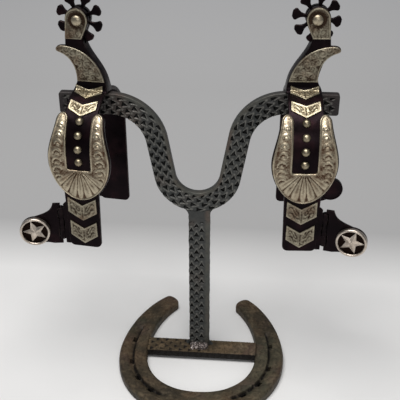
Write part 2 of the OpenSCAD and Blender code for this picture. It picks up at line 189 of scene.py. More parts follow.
# A shape is (vertices, faces).
def slab(loops, step, place, top, bottom, rings):
    """A closed sheet between two height fields. place takes 2D points and heights to 3D.

    Returns the shape, how far inside its outline each vertex is, and the 2D points.
    """
    v, tris, d = panel(loops, step, rings)
    high, low = (np.broadcast_to(height(v, d), len(v)) for height in (top, bottom))
    n = len(v)
    faces = [tuple(t) for t in tris] + [tuple(t[::-1] + n) for t in tris]
    sides = dict.fromkeys((t[i], t[(i + 1) % 3]) for t in tris for i in range(3))
    faces += [(b, a, a + n, b + n) for a, b in sides if (b, a) not in sides]
    return (np.vstack([place(v, high), place(v, low)]), faces), np.tile(d, 2), v


def plate(loops, step, y, face, rings):
    """An upright plate whose two sides stand off the plane y alike."""
    return slab(loops, step, flat(y), face, lambda v, d: -face(v, d), rings)[:2]


def engraved(loops, step, place, relief, r, bottom, rings, under=0.0):
    """A slab with its edge rounded by r, whose relief gives both height and brightness."""
    shades = []

    def top(v, d):
        h, shade = relief(v, d)
        shades.append(shade)
        return h - rounded(d, r)

    shape, edge, v = slab(loops, step, place, top, bottom, rings)
    return shape, edge, np.concatenate([*shades, np.full(len(v), under)])


def lathe(profile, n):
    """A closed turned shape. profile is (radius, height) from one end of the axis to the other."""
    ang = np.linspace(0, 2 * math.pi, n, endpoint=False)
    verts, faces, rows = [], [], []
    for r, h in profile:
        if r < 1e-6:
            rows.append([len(verts)] * n)
            verts.append((0, 0, h))
        else:
            rows.append(list(range(len(verts), len(verts) + n)))
            verts += [(r * math.cos(a), r * math.sin(a), h) for a in ang]
    for p, q in zip(rows, rows[1:]):
        for i in range(n):
            j = (i + 1) % n
            face = [p[i], p[j], q[j], q[i]]
            face = [f for k, f in enumerate(face) if f != face[k - 1]]
            if len(face) > 2:
                faces.append(tuple(face))
    return np.array(verts, float), faces


def dome(rx, rz, x=0.0, z=0.0, n=12):
    """A quarter of an ellipse in a lathe's profile, from its side to its top."""
    a = np.radians(np.linspace(0, 90, n))
    return np.column_stack([x + rx * np.cos(a), z + rz * np.sin(a)])


def set_on(shape, origin, normal=(0, -1, 0)):
    """Turns a shape made along its own z axis to stand on a surface."""
    verts, faces = shape
    n = np.array(normal, float)
    u = np.cross((0, 0, 1), n)
    u /= np.linalg.norm(u)
    w = np.cross(n, u)
    return np.array(origin) + verts[:, :1] * u + verts[:, 1:2] * w + verts[:, 2:3] * n, faces


def merge(parts):
    """Several (shape, value) pairs as one. A value is one number, or one for each vertex."""
    verts, faces, values, n = [], [], [], 0
    for (v, f), value in parts:
        verts.append(v)
        faces += [tuple(i + n for i in face) for face in f]
        values.append(np.full(len(v), value))
        n += len(v)
    return (np.vstack(verts), faces), np.concatenate(values)


def make(name, shape, look, body, node, smooth=38, **values):
    """A mesh object from a shape, riding on a body and standing for a CAD node."""
    verts, faces = shape
    material, slot_name = look
    mesh = bpy.data.meshes.new(name)
    mesh.from_pydata((verts / MM).tolist(), [], [tuple(int(i) for i in f) for f in faces])
    bm = bmesh.new()
    bm.from_mesh(mesh)
    bmesh.ops.recalc_face_normals(bm, faces=bm.faces)
    bm.to_mesh(mesh)
    bm.free()
    mesh.shade_smooth()
    mesh.set_sharp_from_angle(angle=math.radians(smooth))
    for key, value in values.items():
        data = mesh.attributes.new(key, "FLOAT", "POINT").data
        data.foreach_set("value", np.full(len(verts), value, np.float32))
    mesh.materials.append(material)
    obj = bpy.data.objects.new(name, mesh)
    bpy.context.scene.collection.objects.link(obj)
    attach(obj, body)
    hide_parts(node)


# ---------------------------------------------------------------- materials
def scaled(colour, k, most=1.0):
    return tuple(min(c * k, most) for c in colour)


class Shade:
    """A small helper that lays out one material's nodes."""

    def __init__(self, name):
        self.mat = bpy.data.materials.new(name)
        self.mat.use_nodes = True
        self.nodes, self.links = self.mat.node_tree.nodes, self.mat.node_tree.links
        self.bsdf = self.nodes["Principled BSDF"]
        self.coords = self.nodes.new("ShaderNodeTexCoord").outputs["Object"]

    def link(self, value, socket):
        if isinstance(value, bpy.types.NodeSocket):
            self.links.new(value, socket)
        elif socket.type == "RGBA":
            socket.default_value = (*value, 1)
        else:
            socket.default_value = value

    def node(self, kind, out, inputs, **settings):
        """A new node's output, with its inputs linked or set by name or number."""
        node = self.nodes.new("ShaderNode" + kind)
        for key, value in settings.items():
            setattr(node, key, value)
        for key, value in inputs.items():
            self.link(value, node.inputs[key])
        return node.outputs[out]

    def noise(self, scale, detail=4.0, rough=0.55, stretch=None):
        at = self.coords
        if stretch:
            at = self.node("Mapping", "Vector", {"Vector": at, "Scale": stretch})
        inputs = {"Vector": at, "Scale": scale, "Detail": detail, "Roughness": rough}
        return self.node("TexNoise", "Fac", inputs)

    def axis(self, letter):
        return self.node("SeparateXYZ", letter, {0: self.coords})

    def value(self, name):
        return self.node("Attribute", "Fac", {}, attribute_name=name)

    def ramp(self, fac, *stops):
        node = self.nodes.new("ShaderNodeValToRGB")
        while len(node.color_ramp.elements) < len(stops):
            node.color_ramp.elements.new(0.5)
        for element, (pos, col) in zip(node.color_ramp.elements, stops):
            element.position = pos
            element.color = (*col, 1)
        self.link(fac, node.inputs["Fac"])
        return node.outputs["Color"]

    def mix(self, fac, a, b):
        """The Mix node's colour sockets are its inputs 6 and 7 and its output 2."""
        return self.node("Mix", 2, {0: fac, 6: a, 7: b}, data_type="RGBA")

    def math(self, op, a, b=0.5, clamped=False):
        return self.node("Math", 0, {0: a, 1: b}, operation=op, use_clamp=clamped)

    def span(self, value, low, high, to_low=0.0, to_high=1.0):
        limits = {"From Min": low, "From Max": high, "To Min": to_low, "To Max": to_high}
        return self.node("MapRange", "Result", {"Value": value, **limits})

    def tint(self, tone, colour, most, value, low, high):
        """tone turned towards colour, by up to most, as value goes from low to high."""
        return self.mix(self.span(value, low, high, 0.0, most), tone, colour)

    def bump(self, height, strength, distance):
        inputs = {"Height": height, "Strength": strength, "Distance": distance}
        self.link(self.node("Bump", "Normal", inputs), self.bsdf.inputs["Normal"])

    def finish(self, colour, rough, metal):
        self.link(colour, self.bsdf.inputs["Base Color"])
        self.link(rough, self.bsdf.inputs["Roughness"])
        self.bsdf.inputs["Metallic"].default_value = metal
        return self.mat


def browned_steel():
    s = Shade("browned_steel")
    broad = s.noise(60, 3)
    fine = s.noise(900, 5, 0.6)
    dark, mid, brown = (0.0045, 0.0030, 0.0038), (0.0085, 0.0048, 0.0060), (0.022, 0.009, 0.011)
    tone = s.ramp(broad, (0.32, dark), (0.56, mid), (0.80, brown))
    # Lighter in patches near the edges: edge wear, partly a painted highlight along the edges
    near_edge = s.span(s.value("edge"), 0.0, 0.7, 1.0, 0.0)
    worn = s.math("MULTIPLY", near_edge, s.span(s.noise(260, 4), 0.42, 0.66), True)
    tone = s.mix(s.math("MULTIPLY", worn, 0.6), tone, (0.080, 0.055, 0.052))
    s.bump(s.mix(0.5, fine, s.noise(160, 3)), 0.3, 0.0004)
    s.bsdf.inputs["Specular IOR Level"].default_value = 0.22
    return s.finish(tone, s.span(s.noise(140, 4), 0.3, 0.75, 0.27, 0.48), 0.88)


def nickel_silver(name, warm, dark, stain, tarnish):
    """Engraved silver: bright where it stands proud and with painted highlights, dark in the cuts
    and with painted shade, stained in patches.
    """
    s = Shade(name)
    cloud = s.noise(150, 4, 0.6)
    bright = s.ramp(cloud, (0.28, scaled(warm, 0.62)), (0.58, warm), (0.80, scaled(warm, 1.25)))
    bright = s.tint(bright, stain, tarnish * 2, s.noise(85, 5, 0.65), 0.50, 0.72)
    specks = s.span(s.noise(520, 5, 0.7), 0.52, 0.76, 0.0, tarnish * 1.6)
    bright = s.tint(bright, scaled(warm, 1.7, 0.9), 0.55, s.noise(610, 5, 0.7), 0.56, 0.74)
    # Darker as the relief value falls: patina in the cuts, and painted shade and painted highlights
    # from the relief functions
    patina_and_shade = s.math("ADD", s.span(s.value("relief"), 0.18, 0.80, 1.0, 0.0), specks, True)
    tone = s.mix(patina_and_shade, bright, dark)
    scratches = s.noise(700, 3, 0.5, (1.0, 1.0, 5.0))
    s.bump(s.mix(0.5, scratches, s.noise(1100, 4, 0.6)), 0.30, 0.0003)
    rough = s.span(s.math("ADD", s.noise(300, 4), patina_and_shade), 0.35, 1.3, 0.31, 0.62)
    return s.finish(tone, rough, 1.0)


def rasp_steel():
    s = Shade("rasp_steel")
    pit = s.value("relief")
    cool, grey, brown = (0.030, 0.033, 0.033), (0.049, 0.051, 0.049), (0.072, 0.054, 0.044)
    tone = s.ramp(s.noise(42, 4), (0.30, cool), (0.50, grey), (0.74, brown))
    cool, grey, brown = (0.070, 0.074, 0.068), (0.082, 0.078, 0.066), (0.095, 0.064, 0.052)
    plain = s.ramp(s.noise(60, 4), (0.32, cool), (0.55, grey), (0.75, brown))
    tone = s.mix(s.value("margin"), tone, plain)
    from_middle = s.math("ABSOLUTE", s.axis("X"))
    tone = s.tint(tone, (0.026, 0.018, 0.020), 0.75, from_middle, 0.045, 0.085)
    tone = s.tint(tone, (0.026, 0.027, 0.026), 0.65, s.noise(420, 5, 0.7), 0.48, 0.74)
    # Painted light: high relief values paint the burrs and lips lighter as painted highlight, low
    # ones paint the pits near black as painted shade
    tone = s.tint(tone, (0.21, 0.205, 0.185), 0.85, pit, 0.56, 0.95)
    tone = s.mix(s.span(pit, 0.14, 0.44, 1.0, 0.0), tone, (0.003, 0.003, 0.003))
    s.bump(s.mix(0.5, s.noise(800, 4), s.noise(240, 4)), 0.45, 0.0005)
    return s.finish(tone, s.span(s.noise(200, 4), 0.3, 0.7, 0.40, 0.62), 0.5)


def rusted_iron(name, dark, mid, warm, pale, depth):
    s = Shade(name)
    tone = s.ramp(s.noise(42, 5, 0.62), (0.30, dark), (0.46, mid), (0.60, warm), (0.78, pale))
    tone = s.tint(tone, (0.058, 0.062, 0.042), 0.6, s.noise(24, 3), 0.46, 0.66)
    tone = s.tint(tone, (0.095, 0.052, 0.048), 0.5, s.noise(34, 4), 0.54, 0.72)
    tone = s.tint(tone, scaled(pale, 1.25), 0.42, s.noise(170, 5, 0.7), 0.50, 0.68)
    tone = s.tint(tone, scaled(dark, 0.35), 0.8, s.noise(330, 5, 0.7), 0.48, 0.70)
    # Low relief values are painted shade, near black: the shoe's crease, the cross bar's front face
    # and pits. High ones are painted paler, a painted highlight on the cross bar's raised bumps
    tone = s.mix(s.span(s.value("relief"), 0.1, 0.6, 0.95, 0.0), tone, (0.006, 0.005, 0.005))
    tone = s.tint(tone, scaled(pale, 1.8), 0.4, s.value("relief"), 0.75, 1.0)
    s.bsdf.inputs["Specular IOR Level"].default_value = 0.25
    s.bump(s.mix(0.5, s.noise(520, 5, 0.65), s.noise(130, 4)), 0.8, depth)
    return s.finish(tone, s.span(s.noise(180, 4), 0.3, 0.7, 0.46, 0.74), 0.3)


def weld_metal():
    s = Shade("weld_metal")
    dark, mid, pale = (0.060, 0.048, 0.042), (0.19, 0.16, 0.15), (0.55, 0.50, 0.49)
    tone = s.ramp(s.noise(420, 4, 0.7), (0.36, dark), (0.50, mid), (0.68, pale))
    s.bump(s.noise(650, 4), 0.8, 0.0008)
    return s.finish(tone, s.span(s.noise(300, 3), 0.3, 0.7, 0.25, 0.5), 0.8)


# A look is (material, the record's slot).
STEEL = browned_steel(), "dark_steel"
SILVER, LIT_SILVER, STUD, AGED, CONCHO = (
    (nickel_silver(kind + "_silver", *tones), "silver")
    for kind, *tones in (
        ("nickel", (0.50, 0.44, 0.325), (0.085, 0.045, 0.027), (0.24, 0.155, 0.095), 0.30),
        # bright: a lighter copy for the upper chevrons only, painted light for their facing up to
        # the lamp
        ("bright", (0.43, 0.38, 0.27), (0.075, 0.050, 0.025), (0.32, 0.24, 0.12), 0.22),
        ("stud", (0.33, 0.285, 0.20), (0.040, 0.030, 0.020), (0.20, 0.15, 0.09), 0.30),
        ("aged", (0.36, 0.325, 0.245), (0.042, 0.026, 0.017), (0.16, 0.092, 0.055), 0.42),
        ("concho", (0.66, 0.58, 0.50), (0.014, 0.008, 0.006), (0.32, 0.25, 0.18), 0.2),
    )
)
RASP = rasp_steel(), "rasp_steel"
RUST = rusted_iron(
    "rusted_shoe", (0.026, 0.021, 0.014), (0.052, 0.040, 0.025),
    (0.088, 0.058, 0.034), (0.130, 0.104, 0.066), 0.0007,
), "rusty_iron"
RUST_BAR = rusted_iron(
    "rusted_rasp", (0.042, 0.032, 0.020), (0.084, 0.060, 0.034),
    (0.130, 0.086, 0.048), (0.170, 0.130, 0.080), 0.0011,
), "rusty_iron"
WELD = weld_metal(), "weld_metal"


# ---------------------------------------------------------------- engraving
def scroll(x, y, r, start, turns, hand):
    """One engraved curl that winds in to its eye."""
    t = np.linspace(0, 1, int(26 * turns) + 6)
    a = math.radians(start) + hand * turns * 2 * math.pi * t
    rr = r * (1 - 0.88 * t)
    return np.column_stack([x + rr * np.cos(a), y + rr * np.sin(a)])


def etched(pts, lines, width):
    """1 where a point lies on one of the lines, 0 away from them."""
    line = np.vstack([dense(l) for l in lines])
    best = []
    for part in np.split(pts, range(1500, len(pts), 1500)):
        best.append(np.sqrt(((part[:, None] - line[None]) ** 2).sum(-1).min(1)))
    return bell(np.concatenate(best), width)


def vine(points, r):
    """Curls set alternately on either side of a line of points, with short leaves between."""
    lines = []
    points = np.array(points, float)
    for i, (a, b) in enumerate(zip(points, points[1:])):
        hand = 1 if i % 2 else -1
        along = (b - a) / np.linalg.norm(b - a)
        side = np.array([-along[1], along[0]]) * hand
        start = math.degrees(math.atan2(-side[1], -side[0]))
        lines.append(scroll(*((a + b) / 2 + side * r * 0.22), r, start, 1.15, hand))
        lines.append([b - side * r * 0.2, b - side * r * 0.95 + along * r * 0.4])
        lines.append([b + side * r * 0.3 - along * 0.2 * r, b + side * r * 0.95 + along * r * 0.25])
    return lines


# ---------------------------------------------------------------- one spur's place
class Spur:
    """One spur: where it hangs, read from its two hinge joints, and how its pieces are made."""

    def __init__(self, side):
        self.side, self.word = side, "left" if side < 0 else "right"
        front, rear = (np.array(self.hinge(w)["pos_m"]) * MM for w in ("outer", "inner"))
        self.back = (rear - front)[:2] / np.linalg.norm((rear - front)[:2])
        self.out = side * np.array([self.back[1], -self.back[0]])
        self.centre = (front + rear)[:2] / 2 - HINGE_X * self.out
        self.lift = front[2] - HINGE_Z

    def hinge(self, which):
        name = f"{self.word}_{which}_button_swing"
        return next(j for j in frame["joints"] if j["name"] == name)

    def swing(self, verts, which):
        """Turns points about a hinge to the middle of its range, where its button hangs."""
        a = math.radians(self.side * sum(self.hinge(which)["range_deg"]) / 2)
        pivot = np.array([HINGE_X, HINGE_Y if which == "outer" else -HINGE_Y])
        turn = np.array([[math.cos(a), -math.sin(a)], [math.sin(a), math.cos(a)]])
        return np.column_stack([pivot + (verts[:, :2] - pivot) @ turn, verts[:, 2]])

    def piece(self, name, shape, look, node, part="spur", which=None, **values):
        """Makes a piece on one of the spur's bodies, swung with a hinge if which names one."""
        verts, faces = shape
        if which:
            verts = self.swing(verts, which)
        xy = self.centre + verts[:, :1] * self.out + verts[:, 1:2] * self.back
        verts = np.column_stack([xy, verts[:, 2] + self.lift])
        body, node = f"{self.word}_{part}", f"{self.word}_{node}"
        make(f"{self.word}_{name}", (verts, faces), look, body, node, **values)

    def engraving(self, name, loop, place, relief, look, node):
        """Makes a thin engraved silver plate on the spur."""
        rings = (0.18, 0.42, 0.8, 1.3)
        shape, edge, shade = engraved([loop], 0.55, place, relief, 0.45, lambda v, d: -0.15, rings)
        self.piece(name, shape, look, node, relief=shade, edge=edge)


def to_bend(pts):
    """Front-view heights become lengths along the band's outer face."""
    out = np.array(pts, float)
    over = out[:, 1] > BEND_Z
    rise = np.clip((out[over, 1] - BEND_Z) / BEND_R, -1, 1)
    out[over, 1] = BEND_Z + BEND_R * np.arcsin(rise)
    return out


def wrap(v, h):
    """Points across and along the band, with heights off its outer face, in the spur's axes."""
    s = v[:, 1] - BEND_Z
    turn = np.clip(s / BEND_R, 0, math.pi)
    straight = np.minimum(s, 0) - np.maximum(s - math.pi * BEND_R, 0)
    z = BEND_Z + (BEND_R + h) * np.sin(turn) + straight
    return np.column_stack([v[:, 0], -(BEND_R + h) * np.cos(turn), z])


def climb(v, h):
    """As wrap, but past the shank's foot the strip turns up the shank's front face."""
    foot, lead, r = math.radians(FOOT_DEG), math.radians(90 - FOOT_DEG), 2.6
    start = BEND_Z + BEND_R * foot
    base = wrap(np.minimum(v, [99, start]), h)
    past = np.maximum(v[:, 1] - start, 0)
    turn = lead + np.minimum(past / r, foot)
    rise = np.maximum(past - r * foot, 0)
    y0 = -BEND_R * math.cos(foot) + r * (np.sin(turn) - math.sin(lead))
    z0 = BEND_Z + BEND_R * math.sin(foot) + r * (math.cos(lead) - np.cos(turn)) + rise
    up = np.column_stack([v[:, 0], y0 - h * np.sin(turn), z0 + h * np.cos(turn)])
    return np.where((past > 0)[:, None], up, base)


def flat(y0, facing=-1):
    """Upright outlines: heights stand off the plane y = y0, towards the front by default."""
    return lambda v, h: np.column_stack([v[:, 0], y0 + facing * h, v[:, 1]])


# ---------------------------------------------------------------- band and its silver
def buckle_side(m):
    """The overlay's right-hand edge, m outside its own, from a prong's shoulder to the bottom."""
    return np.vstack([
        cubic((17.7 + m, 239), (18.6 + m, 230), (23.4 + m, 220), (23.4 + m, 209.5), 12),
        cubic((23.4 + m, 209.5), (23.4 + m, 194), (12.5, 178.2 - m), (0, 178.2 - m), 18),
    ])


def band_loop():
    """The band laid flat: it widens under the overlay and is plain from there to the rear leg."""
    side, corner = buckle_side(0.7), BAND_HALF - 4
    right = to_bend(np.vstack([
        [(0, LEG_END)],
        arc(corner, LEG_END + 4, 4, -90, 0, 6),
        side[side[:, 0] >= BAND_HALF][::-1],
        arc(13.7, 238.6, 4.7, 5, 92, 6),
    ]))
    far = BEND_Z + math.pi * BEND_R + BEND_Z - LEG_END
    shoulder = [(BAND_HALF, right[-1, 1] + 0.3)]
    return both_sides(np.vstack([right, shoulder, arc(corner, far - 4, 4, 0, 90, 6), [(0, far)]]))


def buckle_loop():
    return to_bend(both_sides(np.vstack([
        [(0, 203), (7.1, 203)],
        arc(7.1, 205, 2, -90, 0, 5),
        [(9.1, 238.0)],
        arc(13.4, 238.6, 4.3, 178, 4, 10),
        buckle_side(0)[1:],
    ])))


def crescents():
    """The raised half-moons and beads that run down each prong: arcs and bead strokes."""
    arcs, beads = [], []
    path = [(13.6, 236.6, 1.7), (14.1, 230.6, 2.2), (14.9, 224.0, 2.6), (15.8, 217.2, 3.0),
            (16.5, 210.2, 3.3), (16.7, 203.2, 3.4), (15.9, 196.4, 3.2)]
    for i, (x, z, r) in enumerate(path):
        lean = -12 * max(i - 3, 0)
        arcs.append(arc(x, z - 0.3 * r, r, -5 + lean, 185 + lean, 14))
        arcs.append(arc(x + 0.1 * r, z - 0.25 * r, 0.76 * r, 30 + lean, 150 + lean, 8))
        beads.append([(x - 0.25 * r, z - 0.65 * r), (x + 0.2 * r, z - 0.45 * r)])
    return arcs, beads


def petal_fan(x, z, inner):
    """The fan of petals at the overlay's bottom: where it is, its height and its brightness."""
    fan_z, petal_deg = 204.0, 19.0
    ang = np.degrees(np.arctan2(x, fan_z - z))
    rad = np.hypot(x, z - fan_z)
    fan = clamp((66 - np.abs(ang)) / 4) * clamp((rad - 2.4) / 0.8) * inner
    bent = ang + 0.25 * np.sign(ang) * (rad - 12)
    phase = (bent / petal_deg + 0.5) % 1 - 0.5
    reach = clamp((rad - 2.0) / 21.5)
    width = 0.10 + 0.37 * np.sin(np.pi * clamp(0.05 + 0.72 * reach))
    puff = np.sqrt(np.maximum(1 - (phase / width) ** 2, 0))
    core = bell(phase / width, 0.36) * clamp((reach - 0.08) / 0.2) * clamp((0.92 - reach) / 0.25)
    petals = fan * (0.62 * puff - 0.30 * core - 0.34)
    return fan, petals, 0.80 - 0.36 * core - 0.55 * clamp(1 - puff * 1.8)


def buckle_relief(v, d):
    """The overlay's modelling: rim, half-moons down both prongs and the fan at the bottom."""
    x, z = v[:, 0], v[:, 1]
    ax = np.abs(x)
    inner = clamp((d - 1.5) / 0.5)
    swell = 0.55 * (1 - bell(d, 3.2))
    rim = 0.40 * bell(d - 0.7, 0.5)
    groove = bell(d - 1.55, 0.34)
    fan, petals, petal_shade = petal_fan(x, z, inner)
    prong = inner * (1 - fan) * clamp((ax - 6.0) / 3.0)
    mirror = np.column_stack([ax, z])
    arcs, beads = crescents()
    moon, bead = etched(mirror, arcs, 0.62), etched(mirror, beads, 0.85)
    raised = np.maximum(moon, bead)
    # below: a strip under each half-moon, sunk a little and painted darker as its painted shadow
    below = etched(mirror + [0.25, 0.95], arcs, 0.55) * (1 - moon) * (1 - bead)
    leaves = prong * (0.50 * raised - 0.30 * below - 0.12)
    blotch, stipple = wavy(v, 4.5, 11), wavy(v, 1.0, 21)
    # prong_top_highlight: the prongs painted lighter towards their tops, which turn up round the
    # bend towards the lamp, as a painted highlight
    prong_top_highlight = clamp((z - 222) / 10)
    prong_shade = 0.42 + 0.22 * prong_top_highlight + 0.13 * blotch + 0.15 * stipple
    prong_shade = prong_shade + 0.50 * raised - 0.34 * below
    h = 0.75 + swell + rim - 0.26 * groove + petals + leaves
    field = petal_shade * fan + prong_shade * (1 - fan) + 0.08 * blotch + 0.06 * stipple
    # bell(d, 0.3) paints shade along the overlay's rounded outline, dimming the highlight its edge
    # catches
    shade = 0.90 - 0.55 * groove - 0.35 * bell(d, 0.3)
    return h, clamp(shade * (1 - inner) + inner * field)


def knuckle(z0, z1, y):
    """One barrel of a hinge, bored for its pin and with its corners broken."""
    r, bore, c = BARREL_R, 1.2, 0.2
    wall = [(r - c, z0), (r, z0 + c), (r, z1 - c), (r - c, z1)]
    verts, faces = lathe([(bore, z0), *wall, (bore, z1), (bore, z0)], 32)
    return verts + [HINGE_X, y, 0], faces


def stepped(x, to, play):
    """A plate's side at x, from below the hinge up, that steps out beside the ear's barrels."""
    out = []
    for low, high in (KNUCKLES[:2], KNUCKLES[2:]):
        out += [(x, low - play), (to, low - play), (to, high + play), (x, high + play)]
    return out


def make_band(spur):
    shape, edge, _ = slab(
        [band_loop()], 1.1, wrap,
        lambda v, d: -rounded(d, 0.7) + 0.05 * wavy(v, 4.0, 7),
        lambda v, d: -BAND_T + rounded(d, 0.6), (0.2, 0.5, 0.9),
    )
    spur.piece("heel_band_strap", shape, STEEL, "heel_band", edge=edge)
    root, x1, low, top = 12.0, HINGE_X - BARREL_R - CLEAR, 137.8, 173.9
    ear = [(root, low), (x1, low), *stepped(x1, 16.9, 0), (x1, 172.2), (14.2, top), (root, top)]
    parts = []
    for y in (HINGE_Y, -HINGE_Y):
        parts.append(plate([ear], 0.8, y, lambda v, d: LEAF_HALF - rounded(d, 0.4), (0.15, 0.4)))
        for z in (KNUCKLES[0], KNUCKLES[2]):
            parts.append((knuckle(z, z + KNUCKLES[1] - KNUCKLES[0], y), 0.6))
    shape, edge = merge(parts)
    spur.piece("hinge_ears", shape, STEEL, "heel_band", edge=edge)
    z0, z1, r = KNUCKLES[0] - 0.7, KNUCKLES[3] + 0.7, 1.15
    rod = [(0, z0), (r * 0.7, z0 + 0.1), (r, z0 + 0.5), (r, z1 - 0.5), (r * 0.7, z1 - 0.1), (0, z1)]
    for which, y in (("outer", HINGE_Y), ("inner", -HINGE_Y)):
        verts, faces = lathe(rod, 24)
        shape = verts + [HINGE_X, y, 0], faces
        spur.piece(f"{which}_hinge_rod", shape, STEEL, f"{which}_hinge_pin", edge=0.3)


def bordered(lines, width, ground):
    """Relief for a plate with a bright border round a darker ground and engraved lines."""
    border, height, depth = 1.15, 1.05, 0.40

    def relief(v, d):
        carve = etched(v, lines, width)
        # burr_highlight: a strip offset below each line, raised a little as a burr and painted
        # lighter as a painted highlight
        burr_highlight = etched(v + [0.25, 0.62], lines, width) * (1 - carve)
        inner = clamp((d - border - 0.2) / 0.35)
        groove = bell(d - border, 0.28)
        h = height - 0.22 * groove + inner * (0.05 - depth * carve + 0.15 * burr_highlight)
        matt = 0.20 * wavy(v, 1.6, 5) + 0.14 * wavy(v, 4.0, 6)
        return h, clamp(0.95 - 0.40 * groove - inner * (ground + 0.30 * carve - 0.42 * burr_highlight + matt))

    return relief


def chevron_lines(half, top, notch, low, tip):
    """A waving stem along each arm of the V, leaves above and below it, a rib at the point."""
    lines = [[(0, notch - 1.6), (0, tip + 2.0)]]
    for s in (-1, 1):
        outer = np.array([s * (half - 1.8), (top + low) / 2 + 0.1])
        inner = np.array([s * 1.2, (notch + tip) / 2 + 0.3])
        run, rise = inner - outer, np.array([0, abs(top - low) * 0.40])

        def curve(n, *stations):
            """Stations are (along the arm, up from its middle)."""
            return cubic(*(outer + run * t + rise * k for t, k in stations), n)

        lines.append(curve(8, (0.0, 0.10), (0.22, 1.05), (0.40, 0.35), (0.60, 0.05)))
        lines.append(curve(8, (0.60, 0.05), (0.80, -0.25), (0.92, 0.20), (0.80, 0.55)))
        lines.append(curve(5, (0.42, 0.86), (0.58, 1.00), (0.66, 0.75), (0.70, 0.50)))
        lines.append(curve(6, (0.10, -0.55), (0.28, -0.15), (0.46, -0.45), (0.56, -0.85)))
        lines.append(curve(5, (0.62, -0.45), (0.74, -0.60), (0.84, -0.60), (0.94, -0.40)))
    return lines


def chevron_loop(half, top, notch, low, tip):
    wide = half + 0.2
    return [(-half, top), (0, notch), (half, top), (wide, low), (0, tip), (-wide, low)]


def round_bend(deg):
    """How far along the band's outer face the bend has turned by an angle."""
    return BEND_Z + BEND_R * math.radians(deg)


def make_chevrons(spur):
    foot = round_bend(FOOT_DEG)
    upper = [
        (10.3, foot + 5.6, foot + 1.9, round_bend(76.5), round_bend(66.5)),
        (10.5, *(round_bend(deg) for deg in (64.5, 58, 52.5, 44))),
    ]
    lower = [(half, z, z - 6.6, z - 12.6, z - 19.8) for half, z in ((11.2, 180), (10.5, 159.7))]
    # The upper pair faces up to the lamp on the bend and takes the lighter, less tarnished bright
    # silver as painted light; the lower pair takes the aged silver
    groups = (("upper", upper, LIT_SILVER, 0.42), ("lower", lower, AGED, 0.40))
    for group, sizes, look, ground in groups:
        edges, shades = [], []
        for size in sizes:
            shape, edge, shade = engraved(
                [chevron_loop(*size)], 0.5, climb, bordered(chevron_lines(*size), 0.50, ground),
                0.4, lambda v, d: -0.2, (0.18, 0.42, 0.8),
            )
            edges.append((shape, edge))
            shades.append(shade)
        shape, edge = merge(edges)
        shade, name = np.concatenate(shades), group + "_chevron"
        spur.piece(name + "_pair", shape, look, name + "s", relief=shade, edge=edge)


def make_studs(spur):
    """Domes on small collars, in the slot between the overlay's prongs."""
    r, height, shade = 3.1, 2.9, 0.85
    parts, profile = [], [(0, -0.4), (r, -0.4), *dome(r, height)[:-1], (0, height)]
    for z in (209.6, 219.5, 229.3, 238.2):
        a = math.asin(max((z - BEND_Z) / BEND_R, 0))
        place = (0, -BEND_R * math.cos(a), min(z, BEND_Z) + BEND_R * math.sin(a))
        parts.append((set_on(lathe(profile, 36), place, (0, -math.cos(a), math.sin(a))), shade))
    spur.piece("slot_studs", merge(parts)[0], STUD, "band_studs", relief=shade, edge=shade * 2)


# ---------------------------------------------------------------- shank and rowel
def horn_loop(m=0.0):
    """The chap guard horn, m outside its silver."""
    return chain(
        cubic((-12 - m, 259.5), (-9.5 - m, 275), (3, 285.5 + m), (18, 285.9 + m), 16),
        cubic((18, 285.9 + m), (21, 286 + m), (23.6 + m, 285.2), (23.7 + m, 283.2), 5),
        cubic((23.7 + m, 283.2), (23.7 + m, 282.2), (23 + m, 281.6), (22, 281.2 - m), 4),
        cubic((22, 281.2 - m), (13, 278.5 - m), (8.6 + m, 271), (9 + m, 259.5), 16),
    )


def cheek_loop():
    """The silver on the cheek, from the top of the neck round the rowel's eye."""
    return chain(
        [(3.3, NECK_TOP), (15.6, NECK_TOP), (15.0, 299.0)],
        arc(EYE_X, EYE_Z, 8.3, -5, 193, 26),
        [(-0.2, 298.6)],
    )


def neck_edges():
    """The shank's inner and outer neck curves, both from the band upwards."""
    inner = cubic((-13.6, NECK_LOW), (-13.2, 271), (1.4, 277.5), (2.9, NECK_TOP), 18)
    outer = np.vstack([
        [(12.7, NECK_LOW), (10.4, 256.6), (9.2, 259.5)],
        horn_rim(0.15),
        [(16.4, 286.1), (16.2, 289), (16.0, NECK_TOP)],
    ])
    return inner, outer


def horn_rim(m):
    """The horn's free edge, from its root round the tip to where it meets the neck."""
    loop = horn_loop(m)
    tip = int(np.argmax(loop[:, 0]))
    before = loop[: tip + 1][::-1]
    return np.vstack([loop[tip + 1 :][::-1], before[before[:, 0] > 16.6]])


def shank_loop(horn):
    """The shank's outline, with the horn for the silver's half or without it for the other."""
    inner, outer = neck_edges()
    over = arc(EYE_X, EYE_Z, EYE_R, 193, -5, 26)
    if horn:
        return chain(inner, over, [(15.4, 299.0)], outer[::-1])
    plain = cubic((16.0, NECK_TOP), (17.0, 284.5), (13.6, 275), (10.4, 264), 14)
    root = [(9.6, 259.5), (10.4, 256.6), (12.7, NECK_LOW)]
    return chain(inner, over, [(15.4, 299.0)], plain, root)


